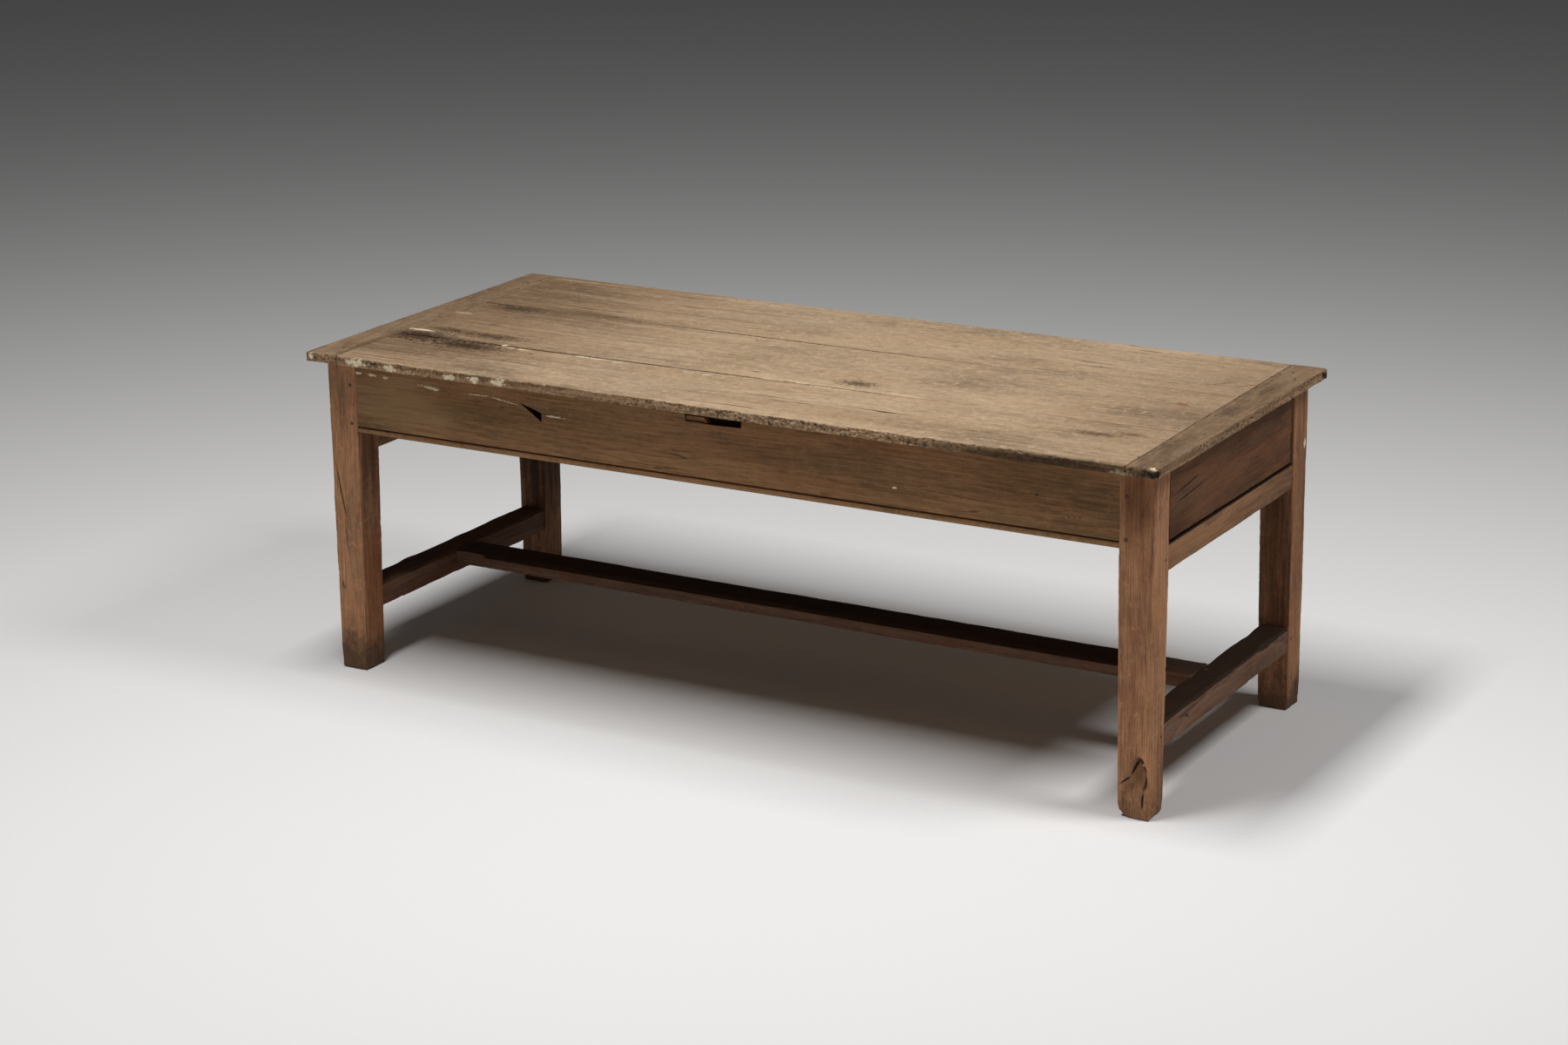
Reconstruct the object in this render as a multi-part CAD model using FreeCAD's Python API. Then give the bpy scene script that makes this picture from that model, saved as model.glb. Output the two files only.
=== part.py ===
import FreeCAD, Part
import os
from FreeCAD import Vector

# A farmhouse kitchen table: a plank top between breadboard ends, four square legs tenoned to two long
# aprons and to a low rail at each end, an H-shaped stretcher frame, and a drawer over each end rail.
# Sizes are in millimetres. The origin lies on the floor under the middle of the top, +X runs along the
# table to the right, +Y to the rear and +Z up.

# Tabletop
TABLE_HEIGHT = 746.0
TOP_LENGTH = 2050.0
TOP_THICKNESS = 22.0
TOP_WIDTH = 890.0
FRONT_BOARD_LEFT_WIDTH = 241.0
FRONT_BOARD_RIGHT_WIDTH = 272.0
REAR_BOARD_WIDTH = 312.0
BOARD_GAP = 1.5
TONGUE_THICKNESS = 8.0
EDGE_TONGUE_LENGTH = 9.0
LEFT_END_WIDTH = 82.0
RIGHT_END_FRONT_WIDTH = 69.0
RIGHT_END_REAR_WIDTH = 82.0
END_TONGUE_LENGTH = 26.0
END_TONGUE_SETBACK = 25.0

# Legs
END_OVERHANG = 25.0
SIDE_OVERHANG = 44.0
LEG_HEAD_X = 76.0
LEG_HEAD_Y = 76.0
LEG_FOOT_X = 69.0
LEG_FOOT_Y = 70.0
LEG_TAPER_LENGTH = 495.0

# Long aprons
APRON_HEIGHT = 163.0
APRON_THICKNESS = 28.0
APRON_SETBACK = 2.0
BEAD_RADIUS = 6.0
QUIRK_WIDTH = 3.0
APRON_TENON_LENGTH = 48.0
APRON_TENON_THICKNESS = 10.0
APRON_TENON_SHOULDER = 24.0

# Notch in the upper edge of the front apron, with a strip let into its left part
NOTCH_LEFT_X = -70.0
NOTCH_LENGTH = 137.0
NOTCH_DEPTH = 29.0
NOTCH_WEB = 8.0
PATCH_LENGTH = 55.0
PATCH_HEIGHT = 12.0
PATCH_SLANT = 11.0
PATCH_THICKNESS = 16.0

# Three-cornered hole broken through the front apron
HOLE_RIGHT_X = -433.0
HOLE_LENGTH = 44.0
HOLE_BLUNT_HEIGHT = 11.0
HOLE_POINT_RISE = 17.0
HOLE_DROP = 61.0

# Rails under the drawers
DRAWER_OPENING_HEIGHT = 165.0
RAIL_HEIGHT = 55.0
RAIL_THICKNESS = 60.0
RAIL_SETBACK = 2.0
RAIL_TENON_LENGTH = 45.0
RAIL_TENON_THICKNESS = 22.0
RAIL_TENON_SHOULDER = 10.0

# Stretcher frame
STRETCHER_BOTTOM = 134.0
STRETCHER_HEIGHT = 57.0
STRETCHER_WIDTH = 66.0
STRETCHER_SETBACK = 2.0
STRETCHER_CHAMFER = 7.0
STRETCHER_TENON_LENGTH = 44.0
STRETCHER_TENON_THICKNESS = 22.0
STRETCHER_TENON_SHOULDER = 9.0
LONG_STRETCHER_WIDTH = 84.0
LONG_STRETCHER_THICKNESS = 33.0
LONG_STRETCHER_DROP = 2.0
LONG_STRETCHER_TENON_LENGTH = 38.0
LONG_STRETCHER_TENON_THICKNESS = 14.0
LONG_STRETCHER_TENON_SHOULDER = 12.0
LONG_CHAMFER_WIDTH = 14.0
LONG_CHAMFER_DEPTH = 9.0
LONG_CHAMFER_STOP = 70.0

# Runners, guides and stops of the drawers
RUNNER_THICKNESS = 16.0
RUNNER_INNER_LEDGE = 34.0
RUNNER_OUTER_LEDGE = 24.0
RUNNER_HOUSING = 18.0
GUIDE_HEIGHT = 42.0
STOP_LENGTH = 30.0
STOP_HEIGHT = 20.0
STOP_WIDTH = 28.0

# Drawers
DRAWER_LENGTH = 760.0
DRAWER_SETBACK = 3.0
DRAWER_SIDE_GAP = 6.0
DRAWER_SIDE_PLAY = 2.0
DRAWER_FRONT_THICKNESS = 22.0
DRAWER_FRONT_LIFT = 6.0
DRAWER_FRONT_HEADROOM = 6.0
DRAWER_SIDE_THICKNESS = 15.0
DRAWER_SIDE_HEIGHT = 150.0
DRAWER_BACK_THICKNESS = 15.0
DRAWER_BACK_DROP = 9.0
DRAWER_BOTTOM_THICKNESS = 9.0
DRAWER_BOTTOM_LIFT = 13.0
DRAWER_BOTTOM_GROOVE = 6.0
DRAWER_BOTTOM_GAP = 0.8
DRAWER_BOTTOM_BOARDS = 3
DOVETAIL_COUNT = 3
DOVETAIL_LENGTH = 14.0
DOVETAIL_ROOT = 20.0
DOVETAIL_TIP = 28.0
DOVETAIL_MARGIN = 4.0

# Pegs and nails
TENON_PEG_DIAMETER = 9.0
TENON_PEG_LENGTH = 58.0
TENON_PEG_INSET = 16.0
APRON_PEG_LOW = 20.0
APRON_PEG_HIGH = 108.0
END_PEG_DIAMETER = 8.0
NAIL_HEAD_DIAMETER = 9.0
NAIL_HEAD_THICKNESS = 1.6
NAIL_SHANK_DIAMETER = 4.0
TOP_NAIL_LENGTH = 75.0
TOP_NAIL_OFFSET_X = 7.5
TOP_NAIL_OFFSET_Y = 16.0
GUIDE_NAIL_LENGTH = 68.0
RUNNER_NAIL_LENGTH = 42.0
STOP_NAIL_LENGTH = 32.0
DRAWER_NAIL_LENGTH = 38.0

# Places of nails, as shares of the half length between the legs, of the height of a drawer's back and of
# the half width of a drawer
GUIDE_NAIL_NEAR = 0.30
GUIDE_NAIL_FAR = 0.85
RUNNER_NAIL_NEAR = 0.15
RUNNER_NAIL_FAR = 0.70
BACK_NAIL_LOW = 0.25
BACK_NAIL_HIGH = 0.75
BOTTOM_NAIL_OUTER = 0.60

# Fits
MORTISE_CLEARANCE = 0.2
GROOVE_CLEARANCE = 0.2
FASTENER_CLEARANCE = 0.1
RUNNING_CLEARANCE = 0.3

# Levels and outlines that follow from the sizes above
LEFT_SHOULDER = LEFT_END_WIDTH - TOP_LENGTH / 2
FRONT_EDGE = (-TOP_WIDTH / 2, -TOP_WIDTH / 2)
FRONT_JOINT = (FRONT_BOARD_LEFT_WIDTH - TOP_WIDTH / 2, FRONT_BOARD_RIGHT_WIDTH - TOP_WIDTH / 2)
REAR_JOINT = (TOP_WIDTH / 2 - REAR_BOARD_WIDTH, TOP_WIDTH / 2 - REAR_BOARD_WIDTH)
REAR_EDGE = (TOP_WIDTH / 2, TOP_WIDTH / 2)
FRAME_TOP = TABLE_HEIGHT - TOP_THICKNESS
TOP_MIDDLE = TABLE_HEIGHT - TOP_THICKNESS / 2
LEG_OUTER_X = TOP_LENGTH / 2 - END_OVERHANG
LEG_OUTER_Y = TOP_WIDTH / 2 - SIDE_OVERHANG
LEG_INNER_X = LEG_OUTER_X - LEG_HEAD_X
LEG_INNER_Y = LEG_OUTER_Y - LEG_HEAD_Y
APRON_BOTTOM = FRAME_TOP - APRON_HEIGHT
APRON_OUTER_Y = LEG_OUTER_Y - APRON_SETBACK
APRON_INNER_Y = APRON_OUTER_Y - APRON_THICKNESS
APRON_MIDDLE_Y = APRON_OUTER_Y - APRON_THICKNESS / 2
RAIL_TOP = FRAME_TOP - DRAWER_OPENING_HEIGHT
RAIL_BOTTOM = RAIL_TOP - RAIL_HEIGHT
RAIL_OUTER_X = LEG_OUTER_X - RAIL_SETBACK
RAIL_INNER_X = RAIL_OUTER_X - RAIL_THICKNESS
STRETCHER_TOP = STRETCHER_BOTTOM + STRETCHER_HEIGHT
STRETCHER_OUTER_X = LEG_OUTER_X - STRETCHER_SETBACK
STRETCHER_INNER_X = STRETCHER_OUTER_X - STRETCHER_WIDTH
LONG_STRETCHER_TOP = STRETCHER_TOP - LONG_STRETCHER_DROP
LONG_STRETCHER_BOTTOM = LONG_STRETCHER_TOP - LONG_STRETCHER_THICKNESS
DRAWER_HALF_WIDTH = LEG_INNER_Y - DRAWER_SIDE_GAP
DRAWER_INNER_Y = DRAWER_HALF_WIDTH - DRAWER_SIDE_THICKNESS
DRAWER_FACE_X = LEG_OUTER_X - DRAWER_SETBACK
DRAWER_FRONT_INNER_X = DRAWER_FACE_X - DRAWER_FRONT_THICKNESS
DRAWER_REAR_X = DRAWER_FACE_X - DRAWER_LENGTH
DRAWER_SIDE_BOTTOM = RAIL_TOP + RUNNING_CLEARANCE
DRAWER_SIDE_TOP = DRAWER_SIDE_BOTTOM + DRAWER_SIDE_HEIGHT
DRAWER_FRONT_BOTTOM = RAIL_TOP + DRAWER_FRONT_LIFT
DRAWER_FRONT_TOP = FRAME_TOP - DRAWER_FRONT_HEADROOM
DRAWER_BOTTOM_LOW = RAIL_TOP + DRAWER_BOTTOM_LIFT
DRAWER_BOTTOM_HIGH = DRAWER_BOTTOM_LOW + DRAWER_BOTTOM_THICKNESS
GUIDE_INNER_Y = DRAWER_HALF_WIDTH + DRAWER_SIDE_PLAY
RUNNER_INNER_Y = DRAWER_HALF_WIDTH - RUNNER_INNER_LEDGE
RUNNER_OUTER_Y = GUIDE_INNER_Y + RUNNER_OUTER_LEDGE
RUNNER_BOTTOM = RAIL_TOP - RUNNER_THICKNESS
RUNNER_END_X = RAIL_INNER_X + RUNNER_HOUSING
STOP_FACE_X = DRAWER_REAR_X - RUNNING_CLEARANCE
CORNERS = [(-1, -1), (1, -1), (-1, 1), (1, 1)]
CORNER_NAMES = ["front_left", "front_right", "rear_left", "rear_right"]
ENDS = {"left": -1, "right": 1}
SIDES = {"front": -1, "rear": 1}


def block(low, high, grow=0.0):
    """A box between two corners given in any order, made larger all round by grow."""
    near = [min(pair) - grow for pair in zip(low, high)]
    far = [max(pair) + grow for pair in zip(low, high)]
    return Part.makeBox(far[0] - near[0], far[1] - near[1], far[2] - near[2], Vector(*near))


def prism(points, sweep):
    """A solid swept from a flat outline."""
    corners = [Vector(*point) for point in points]
    solid = Part.Face(Part.makePolygon(corners + corners[:1])).extrude(Vector(*sweep))
    if solid.Volume < 0:
        solid.reverse()
    return solid


def joined(body, additions):
    """One piece of wood made of a body and the tongues or tenons that grow out of it."""
    return body.fuse(additions).removeSplitter()


def peg(start, direction, length, diameter, grow=0.0):
    return Part.makeCylinder(diameter / 2 + grow, length + grow, Vector(*start), Vector(*direction))


def nail(start, direction, length, grow=0.0):
    """A nail driven in until its head is flush at start."""
    place = (Vector(*start), Vector(*direction))
    head = Part.makeCylinder(NAIL_HEAD_DIAMETER / 2 + grow, NAIL_HEAD_THICKNESS, *place)
    shank = Part.makeCylinder(NAIL_SHANK_DIAMETER / 2 + grow, length + grow, *place)
    return head.fuse(shank)


def right_shoulder(y):
    """Place along X of the slanting joint between the boards and the right breadboard end."""
    share = y / TOP_WIDTH + 0.5
    width = RIGHT_END_FRONT_WIDTH + share * (RIGHT_END_REAR_WIDTH - RIGHT_END_FRONT_WIDTH)
    return TOP_LENGTH / 2 - width


def shifted(line, distance):
    """A line along the top, given by Y at its left and right ends, moved to the rear."""
    return line[0] + distance, line[1] + distance


def board_plan(front_line, rear_line, extra=0.0):
    """Outline of a top board between the breadboard ends, longer at both ends by extra."""
    return [
        (LEFT_SHOULDER - extra, front_line[0]),
        (right_shoulder(front_line[1]) + extra, front_line[1]),
        (right_shoulder(rear_line[1]) + extra, rear_line[1]),
        (LEFT_SHOULDER - extra, rear_line[0]),
    ]


def slab(plan, low, high):
    return prism([(x, y, low) for x, y in plan], (0, 0, high - low))


def tongue(plan, grow=0.0):
    """A flat tongue in the middle of the top's thickness."""
    return slab(plan, TOP_MIDDLE - TONGUE_THICKNESS / 2 - grow, TOP_MIDDLE + TONGUE_THICKNESS / 2 + grow)


def top_boards():
    half_gap = BOARD_GAP / 2
    spans = {
        "front": (FRONT_EDGE, shifted(FRONT_JOINT, -half_gap)),
        "middle": (shifted(FRONT_JOINT, half_gap), shifted(REAR_JOINT, -half_gap)),
        "rear": (shifted(REAR_JOINT, half_gap), REAR_EDGE),
    }
    reach = half_gap + EDGE_TONGUE_LENGTH
    tongue_front = tongue(board_plan(shifted(FRONT_JOINT, -half_gap), shifted(FRONT_JOINT, reach)))
    tongue_rear = tongue(board_plan(shifted(REAR_JOINT, -reach), shifted(REAR_JOINT, half_gap)))
    edge_tongues = {"front": [tongue_front], "rear": [tongue_rear]}
    depth = reach + GROOVE_CLEARANCE
    grooves = [
        tongue(board_plan(shifted(FRONT_JOINT, -half_gap), shifted(FRONT_JOINT, depth)), GROOVE_CLEARANCE),
        tongue(board_plan(shifted(REAR_JOINT, -depth), shifted(REAR_JOINT, half_gap)), GROOVE_CLEARANCE),
    ]
    limits = {
        "front": (shifted(FRONT_EDGE, END_TONGUE_SETBACK), spans["front"][1]),
        "middle": spans["middle"],
        "rear": (spans["rear"][0], shifted(REAR_EDGE, -END_TONGUE_SETBACK)),
    }
    boards = {}
    for name, (front_line, rear_line) in spans.items():
        board = slab(board_plan(front_line, rear_line), FRAME_TOP, TABLE_HEIGHT)
        end_tongue = tongue(board_plan(*limits[name], END_TONGUE_LENGTH))
        boards["top_board_" + name] = joined(board, [end_tongue] + edge_tongues.get(name, []))
    boards["top_board_middle"] = boards["top_board_middle"].cut(grooves)
    return boards


def breadboard_ends():
    front = -TOP_WIDTH / 2
    rear = TOP_WIDTH / 2
    setback = END_TONGUE_SETBACK - GROOVE_CLEARANCE
    span = (shifted(FRONT_EDGE, setback), shifted(REAR_EDGE, -setback))
    groove = tongue(board_plan(*span, END_TONGUE_LENGTH + GROOVE_CLEARANCE), GROOVE_CLEARANCE)
    left_plan = [
        (-TOP_LENGTH / 2, front),
        (LEFT_SHOULDER, front),
        (LEFT_SHOULDER, rear),
        (-TOP_LENGTH / 2, rear),
    ]
    right_plan = [
        (right_shoulder(front), front),
        (TOP_LENGTH / 2, front),
        (TOP_LENGTH / 2, rear),
        (right_shoulder(rear), rear),
    ]
    return {
        "breadboard_end_left": slab(left_plan, FRAME_TOP, TABLE_HEIGHT).cut(groove),
        "breadboard_end_right": slab(right_plan, FRAME_TOP, TABLE_HEIGHT).cut(groove),
    }


def leg_blank(end, side):
    """A leg before its mortises, plumb outside and tapering inside towards the foot."""
    across = [
        (end * LEG_OUTER_X, 0),
        (end * LEG_OUTER_X, FRAME_TOP),
        (end * LEG_INNER_X, FRAME_TOP),
        (end * LEG_INNER_X, LEG_TAPER_LENGTH),
        (end * (LEG_OUTER_X - LEG_FOOT_X), 0),
    ]
    along = [
        (side * LEG_OUTER_Y, 0),
        (side * LEG_OUTER_Y, FRAME_TOP),
        (side * LEG_INNER_Y, FRAME_TOP),
        (side * LEG_INNER_Y, LEG_TAPER_LENGTH),
        (side * (LEG_OUTER_Y - LEG_FOOT_Y), 0),
    ]
    in_x = prism([(x, 0, z) for x, z in across], (0, side * LEG_OUTER_Y, 0))
    in_y = prism([(0, y, z) for y, z in along], (end * LEG_OUTER_X, 0, 0))
    return in_x.common(in_y)


def apron_tenon(end, side):
    """Two opposite corners of the tenon of a long apron."""
    half = APRON_TENON_THICKNESS / 2
    low = (end * LEG_INNER_X, side * (APRON_MIDDLE_Y - half), APRON_BOTTOM + APRON_TENON_SHOULDER)
    high = (
        end * (LEG_INNER_X + APRON_TENON_LENGTH),
        side * (APRON_MIDDLE_Y + half),
        FRAME_TOP - APRON_TENON_SHOULDER,
    )
    return low, high


def rail_tenon(end, side):
    """Two opposite corners of the tenon of a drawer rail."""
    middle = RAIL_OUTER_X - RAIL_THICKNESS / 2
    half = RAIL_TENON_THICKNESS / 2
    low = (end * (middle - half), side * LEG_INNER_Y, RAIL_BOTTOM + RAIL_TENON_SHOULDER)
    high = (end * (middle + half), side * (LEG_INNER_Y + RAIL_TENON_LENGTH), RAIL_TOP - RAIL_TENON_SHOULDER)
    return low, high


def stretcher_shoulder_y():
    """Inner face of the tapering leg at the middle height of the end stretcher."""
    share = (STRETCHER_BOTTOM + STRETCHER_HEIGHT / 2) / LEG_TAPER_LENGTH
    return LEG_OUTER_Y - LEG_FOOT_Y - share * (LEG_HEAD_Y - LEG_FOOT_Y)


def stretcher_tenon(end, side):
    """Two opposite corners of the tenon of an end stretcher, rooted well inside its shoulder."""
    middle = STRETCHER_OUTER_X - STRETCHER_WIDTH / 2
    half = STRETCHER_TENON_THICKNESS / 2
    shoulder = stretcher_shoulder_y()
    low = (
        end * (middle - half),
        side * (shoulder - STRETCHER_TENON_LENGTH),
        STRETCHER_BOTTOM + STRETCHER_TENON_SHOULDER,
    )
    high = (
        end * (middle + half),
        side * (shoulder + STRETCHER_TENON_LENGTH),
        STRETCHER_TOP - STRETCHER_TENON_SHOULDER,
    )
    return low, high


def long_stretcher_tenon(end):
    """Two opposite corners of the tenon of the long stretcher."""
    middle = (LONG_STRETCHER_TOP + LONG_STRETCHER_BOTTOM) / 2
    half = LONG_STRETCHER_TENON_THICKNESS / 2
    reach = LONG_STRETCHER_WIDTH / 2 - LONG_STRETCHER_TENON_SHOULDER
    low = (end * STRETCHER_INNER_X, -reach, middle - half)
    high = (end * (STRETCHER_INNER_X + LONG_STRETCHER_TENON_LENGTH), reach, middle + half)
    return low, high


def legs():
    made = {}
    for name, corner in zip(CORNER_NAMES, CORNERS):
        tenons = [apron_tenon(*corner), rail_tenon(*corner), stretcher_tenon(*corner)]
        mortises = [block(low, high, MORTISE_CLEARANCE) for low, high in tenons]
        made["leg_" + name] = leg_blank(*corner).cut(mortises)
    return made


def apron_body(side):
    """An apron with a quirked bead along the outside of its lower edge."""
    bead_middle_y = APRON_OUTER_Y - BEAD_RADIUS
    bead_top = APRON_BOTTOM + 2 * BEAD_RADIUS
    start = -LEG_INNER_X

    def point(y, z):
        return Vector(start, side * y, z)

    bead = Part.Arc(
        point(bead_middle_y, APRON_BOTTOM),
        point(APRON_OUTER_Y, APRON_BOTTOM + BEAD_RADIUS),
        point(bead_middle_y, bead_top),
    )
    rest = Part.makePolygon([
        point(bead_middle_y, bead_top),
        point(bead_middle_y, bead_top + QUIRK_WIDTH),
        point(APRON_OUTER_Y, bead_top + QUIRK_WIDTH),
        point(APRON_OUTER_Y, FRAME_TOP),
        point(APRON_INNER_Y, FRAME_TOP),
        point(APRON_INNER_Y, APRON_BOTTOM),
        point(bead_middle_y, APRON_BOTTOM),
    ])
    body = Part.Face(Part.Wire([bead.toShape()] + rest.Edges)).extrude(Vector(2 * LEG_INNER_X, 0, 0))
    if body.Volume < 0:
        body.reverse()
    return joined(body, [block(*apron_tenon(end, side)) for end in ENDS.values()])


def aprons():
    notch_floor = FRAME_TOP - NOTCH_DEPTH
    notch_back = -APRON_INNER_Y - NOTCH_WEB
    notch = block(
        (NOTCH_LEFT_X, notch_back, notch_floor),
        (NOTCH_LEFT_X + NOTCH_LENGTH, -APRON_OUTER_Y, FRAME_TOP),
    )
    blunt_top = FRAME_TOP - HOLE_DROP
    hole = prism(
        [
            (HOLE_RIGHT_X, -APRON_INNER_Y, blunt_top),
            (HOLE_RIGHT_X, -APRON_INNER_Y, blunt_top - HOLE_BLUNT_HEIGHT),
            (HOLE_RIGHT_X - HOLE_LENGTH, -APRON_INNER_Y, blunt_top + HOLE_POINT_RISE),
        ],
        (0, -APRON_THICKNESS, 0),
    )
    patch_y = notch_back - PATCH_THICKNESS
    patch_right_x = NOTCH_LEFT_X + PATCH_LENGTH
    patch_top = notch_floor + PATCH_HEIGHT
    patch = prism(
        [
            (NOTCH_LEFT_X, patch_y, notch_floor),
            (patch_right_x, patch_y, notch_floor),
            (patch_right_x - PATCH_SLANT, patch_y, patch_top),
            (NOTCH_LEFT_X, patch_y, patch_top),
        ],
        (0, PATCH_THICKNESS, 0),
    )
    return {
        "apron_front": apron_body(SIDES["front"]).cut([notch, hole]),
        "apron_rear": apron_body(SIDES["rear"]),
        "apron_patch": patch,
    }


def runner_low(side):
    return -RUNNER_END_X, side * RUNNER_INNER_Y, RUNNER_BOTTOM


def runner_high(side):
    return RUNNER_END_X, side * RUNNER_OUTER_Y, RAIL_TOP


def drawer_rails():
    housings = [block(runner_low(side), runner_high(side), MORTISE_CLEARANCE) for side in SIDES.values()]
    made = {}
    for name, end in ENDS.items():
        body = block(
            (end * RAIL_INNER_X, -LEG_INNER_Y, RAIL_BOTTOM),
            (end * RAIL_OUTER_X, LEG_INNER_Y, RAIL_TOP),
        )
        rail = joined(body, [block(*rail_tenon(end, side)) for side in SIDES.values()])
        made["drawer_rail_" + name] = rail.cut(housings)
    return made


def end_stretchers():
    made = {}
    for name, end in ENDS.items():
        shoulder_z = STRETCHER_TOP - STRETCHER_CHAMFER
        section = [
            (STRETCHER_INNER_X, STRETCHER_BOTTOM),
            (STRETCHER_OUTER_X, STRETCHER_BOTTOM),
            (STRETCHER_OUTER_X, shoulder_z),
            (STRETCHER_OUTER_X - STRETCHER_CHAMFER, STRETCHER_TOP),
            (STRETCHER_INNER_X + STRETCHER_CHAMFER, STRETCHER_TOP),
            (STRETCHER_INNER_X, shoulder_z),
        ]
        body = prism([(end * x, -LEG_OUTER_Y, z) for x, z in section], (0, 2 * LEG_OUTER_Y, 0))
        body = body.cut([leg_blank(end, side) for side in SIDES.values()])
        stretcher = joined(body, [block(*stretcher_tenon(end, side)) for side in SIDES.values()])
        low, high = long_stretcher_tenon(end)
        made["end_stretcher_" + name] = stretcher.cut(block(low, high, MORTISE_CLEARANCE))
    return made


def long_stretcher():
    half = LONG_STRETCHER_WIDTH / 2
    start = LONG_CHAMFER_STOP - STRETCHER_INNER_X
    length = -2 * start
    body = block(
        (-STRETCHER_INNER_X, -half, LONG_STRETCHER_BOTTOM),
        (STRETCHER_INNER_X, half, LONG_STRETCHER_TOP),
    )
    side = SIDES["front"]
    corner = [
        (start, side * half, LONG_STRETCHER_TOP),
        (start, side * (half - LONG_CHAMFER_WIDTH), LONG_STRETCHER_TOP),
        (start, side * half, LONG_STRETCHER_TOP - LONG_CHAMFER_DEPTH),
    ]
    body = body.cut(prism(corner, (length, 0, 0)))
    return {"long_stretcher": joined(body, [block(*long_stretcher_tenon(end)) for end in ENDS.values()])}


def drawer_ways():
    """Runners from rail to rail, guides beside the drawers, and stop blocks behind them."""
    made = {}
    leg_room = [
        block(
            (end * LEG_INNER_X, side * LEG_INNER_Y, RUNNER_BOTTOM),
            (end * LEG_OUTER_X, side * LEG_OUTER_Y, RAIL_TOP),
            MORTISE_CLEARANCE,
        )
        for end, side in CORNERS
    ]
    stops = []
    for name, side in SIDES.items():
        made["drawer_runner_" + name] = block(runner_low(side), runner_high(side)).cut(leg_room)
        made["drawer_guide_" + name] = block(
            (-LEG_INNER_X, side * GUIDE_INNER_Y, RAIL_TOP),
            (LEG_INNER_X, side * APRON_INNER_Y, RAIL_TOP + GUIDE_HEIGHT),
        )
        for end in ENDS.values():
            low = (end * STOP_FACE_X, side * RUNNER_INNER_Y, RAIL_TOP)
            high = (
                end * (STOP_FACE_X - STOP_LENGTH),
                side * (RUNNER_INNER_Y + STOP_WIDTH),
                RAIL_TOP + STOP_HEIGHT,
            )
            stops.append(block(low, high))
    made["drawer_stops"] = Part.makeCompound(stops)
    return made


def dovetails(end, side):
    """Tails on the front end of a drawer side, wider at the tip than at the root."""
    low = DRAWER_BOTTOM_HIGH + DOVETAIL_MARGIN
    pitch = (DRAWER_SIDE_TOP - low) / DOVETAIL_COUNT
    tip_x = DRAWER_FRONT_INNER_X + DOVETAIL_LENGTH
    tails = []
    for number in range(DOVETAIL_COUNT):
        middle = low + (number + 0.5) * pitch
        outline = [
            (end * DRAWER_FRONT_INNER_X, side * DRAWER_INNER_Y, middle - DOVETAIL_ROOT / 2),
            (end * tip_x, side * DRAWER_INNER_Y, middle - DOVETAIL_TIP / 2),
            (end * tip_x, side * DRAWER_INNER_Y, middle + DOVETAIL_TIP / 2),
            (end * DRAWER_FRONT_INNER_X, side * DRAWER_INNER_Y, middle + DOVETAIL_ROOT / 2),
        ]
        tails.append(prism(outline, (0, side * DRAWER_SIDE_THICKNESS, 0)))
    return tails


def drawer(name, end):
    groove_y = DRAWER_INNER_Y + DRAWER_BOTTOM_GROOVE
    groove_x = DRAWER_FRONT_INNER_X + DRAWER_BOTTOM_GROOVE
    bottom_groove = block(
        (end * DRAWER_REAR_X, -groove_y, DRAWER_BOTTOM_LOW),
        (end * groove_x, groove_y, DRAWER_BOTTOM_HIGH),
        GROOVE_CLEARANCE,
    )
    made = {}
    front = block(
        (end * DRAWER_FRONT_INNER_X, -DRAWER_HALF_WIDTH, DRAWER_FRONT_BOTTOM),
        (end * DRAWER_FACE_X, DRAWER_HALF_WIDTH, DRAWER_FRONT_TOP),
    )
    sockets = dovetails(end, SIDES["front"]) + dovetails(end, SIDES["rear"])
    made["front"] = front.cut(sockets + [bottom_groove])
    for label, side in SIDES.items():
        body = block(
            (end * DRAWER_REAR_X, side * DRAWER_INNER_Y, DRAWER_SIDE_BOTTOM),
            (end * DRAWER_FRONT_INNER_X, side * DRAWER_HALF_WIDTH, DRAWER_SIDE_TOP),
        )
        made["side_" + label] = joined(body, dovetails(end, side)).cut(bottom_groove)
    made["back"] = block(
        (end * DRAWER_REAR_X, -DRAWER_INNER_Y, DRAWER_BOTTOM_HIGH),
        (end * (DRAWER_REAR_X + DRAWER_BACK_THICKNESS), DRAWER_INNER_Y, DRAWER_SIDE_TOP - DRAWER_BACK_DROP),
    )
    pitch = (groove_x - DRAWER_REAR_X + DRAWER_BOTTOM_GAP) / DRAWER_BOTTOM_BOARDS
    for number in range(DRAWER_BOTTOM_BOARDS):
        board_front = groove_x - number * pitch
        made["bottom_" + str(number + 1)] = block(
            (end * board_front, -groove_y, DRAWER_BOTTOM_LOW),
            (end * (board_front - pitch + DRAWER_BOTTOM_GAP), groove_y, DRAWER_BOTTOM_HIGH),
        )
    return {name + "_drawer_" + label: piece for label, piece in made.items()}


def tenon_peg(start, direction, grow):
    return peg(start, direction, TENON_PEG_LENGTH, TENON_PEG_DIAMETER, grow)


def apron_pegs(grow=0.0):
    """Two pegs to a tenon, driven in from the long sides."""
    pegs = []
    for end, side in CORNERS:
        for height in (APRON_PEG_LOW, APRON_PEG_HIGH):
            start = (end * (LEG_INNER_X + TENON_PEG_INSET), side * LEG_OUTER_Y, APRON_BOTTOM + height)
            pegs.append(tenon_peg(start, (0, -side, 0), grow))
    return pegs


def end_tenon_pegs(shoulder_y, height, grow):
    """One peg to a tenon, driven in from the ends of the table."""
    pegs = []
    for end, side in CORNERS:
        start = (end * LEG_OUTER_X, side * (shoulder_y + TENON_PEG_INSET), height)
        pegs.append(tenon_peg(start, (-end, 0, 0), grow))
    return pegs


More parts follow.
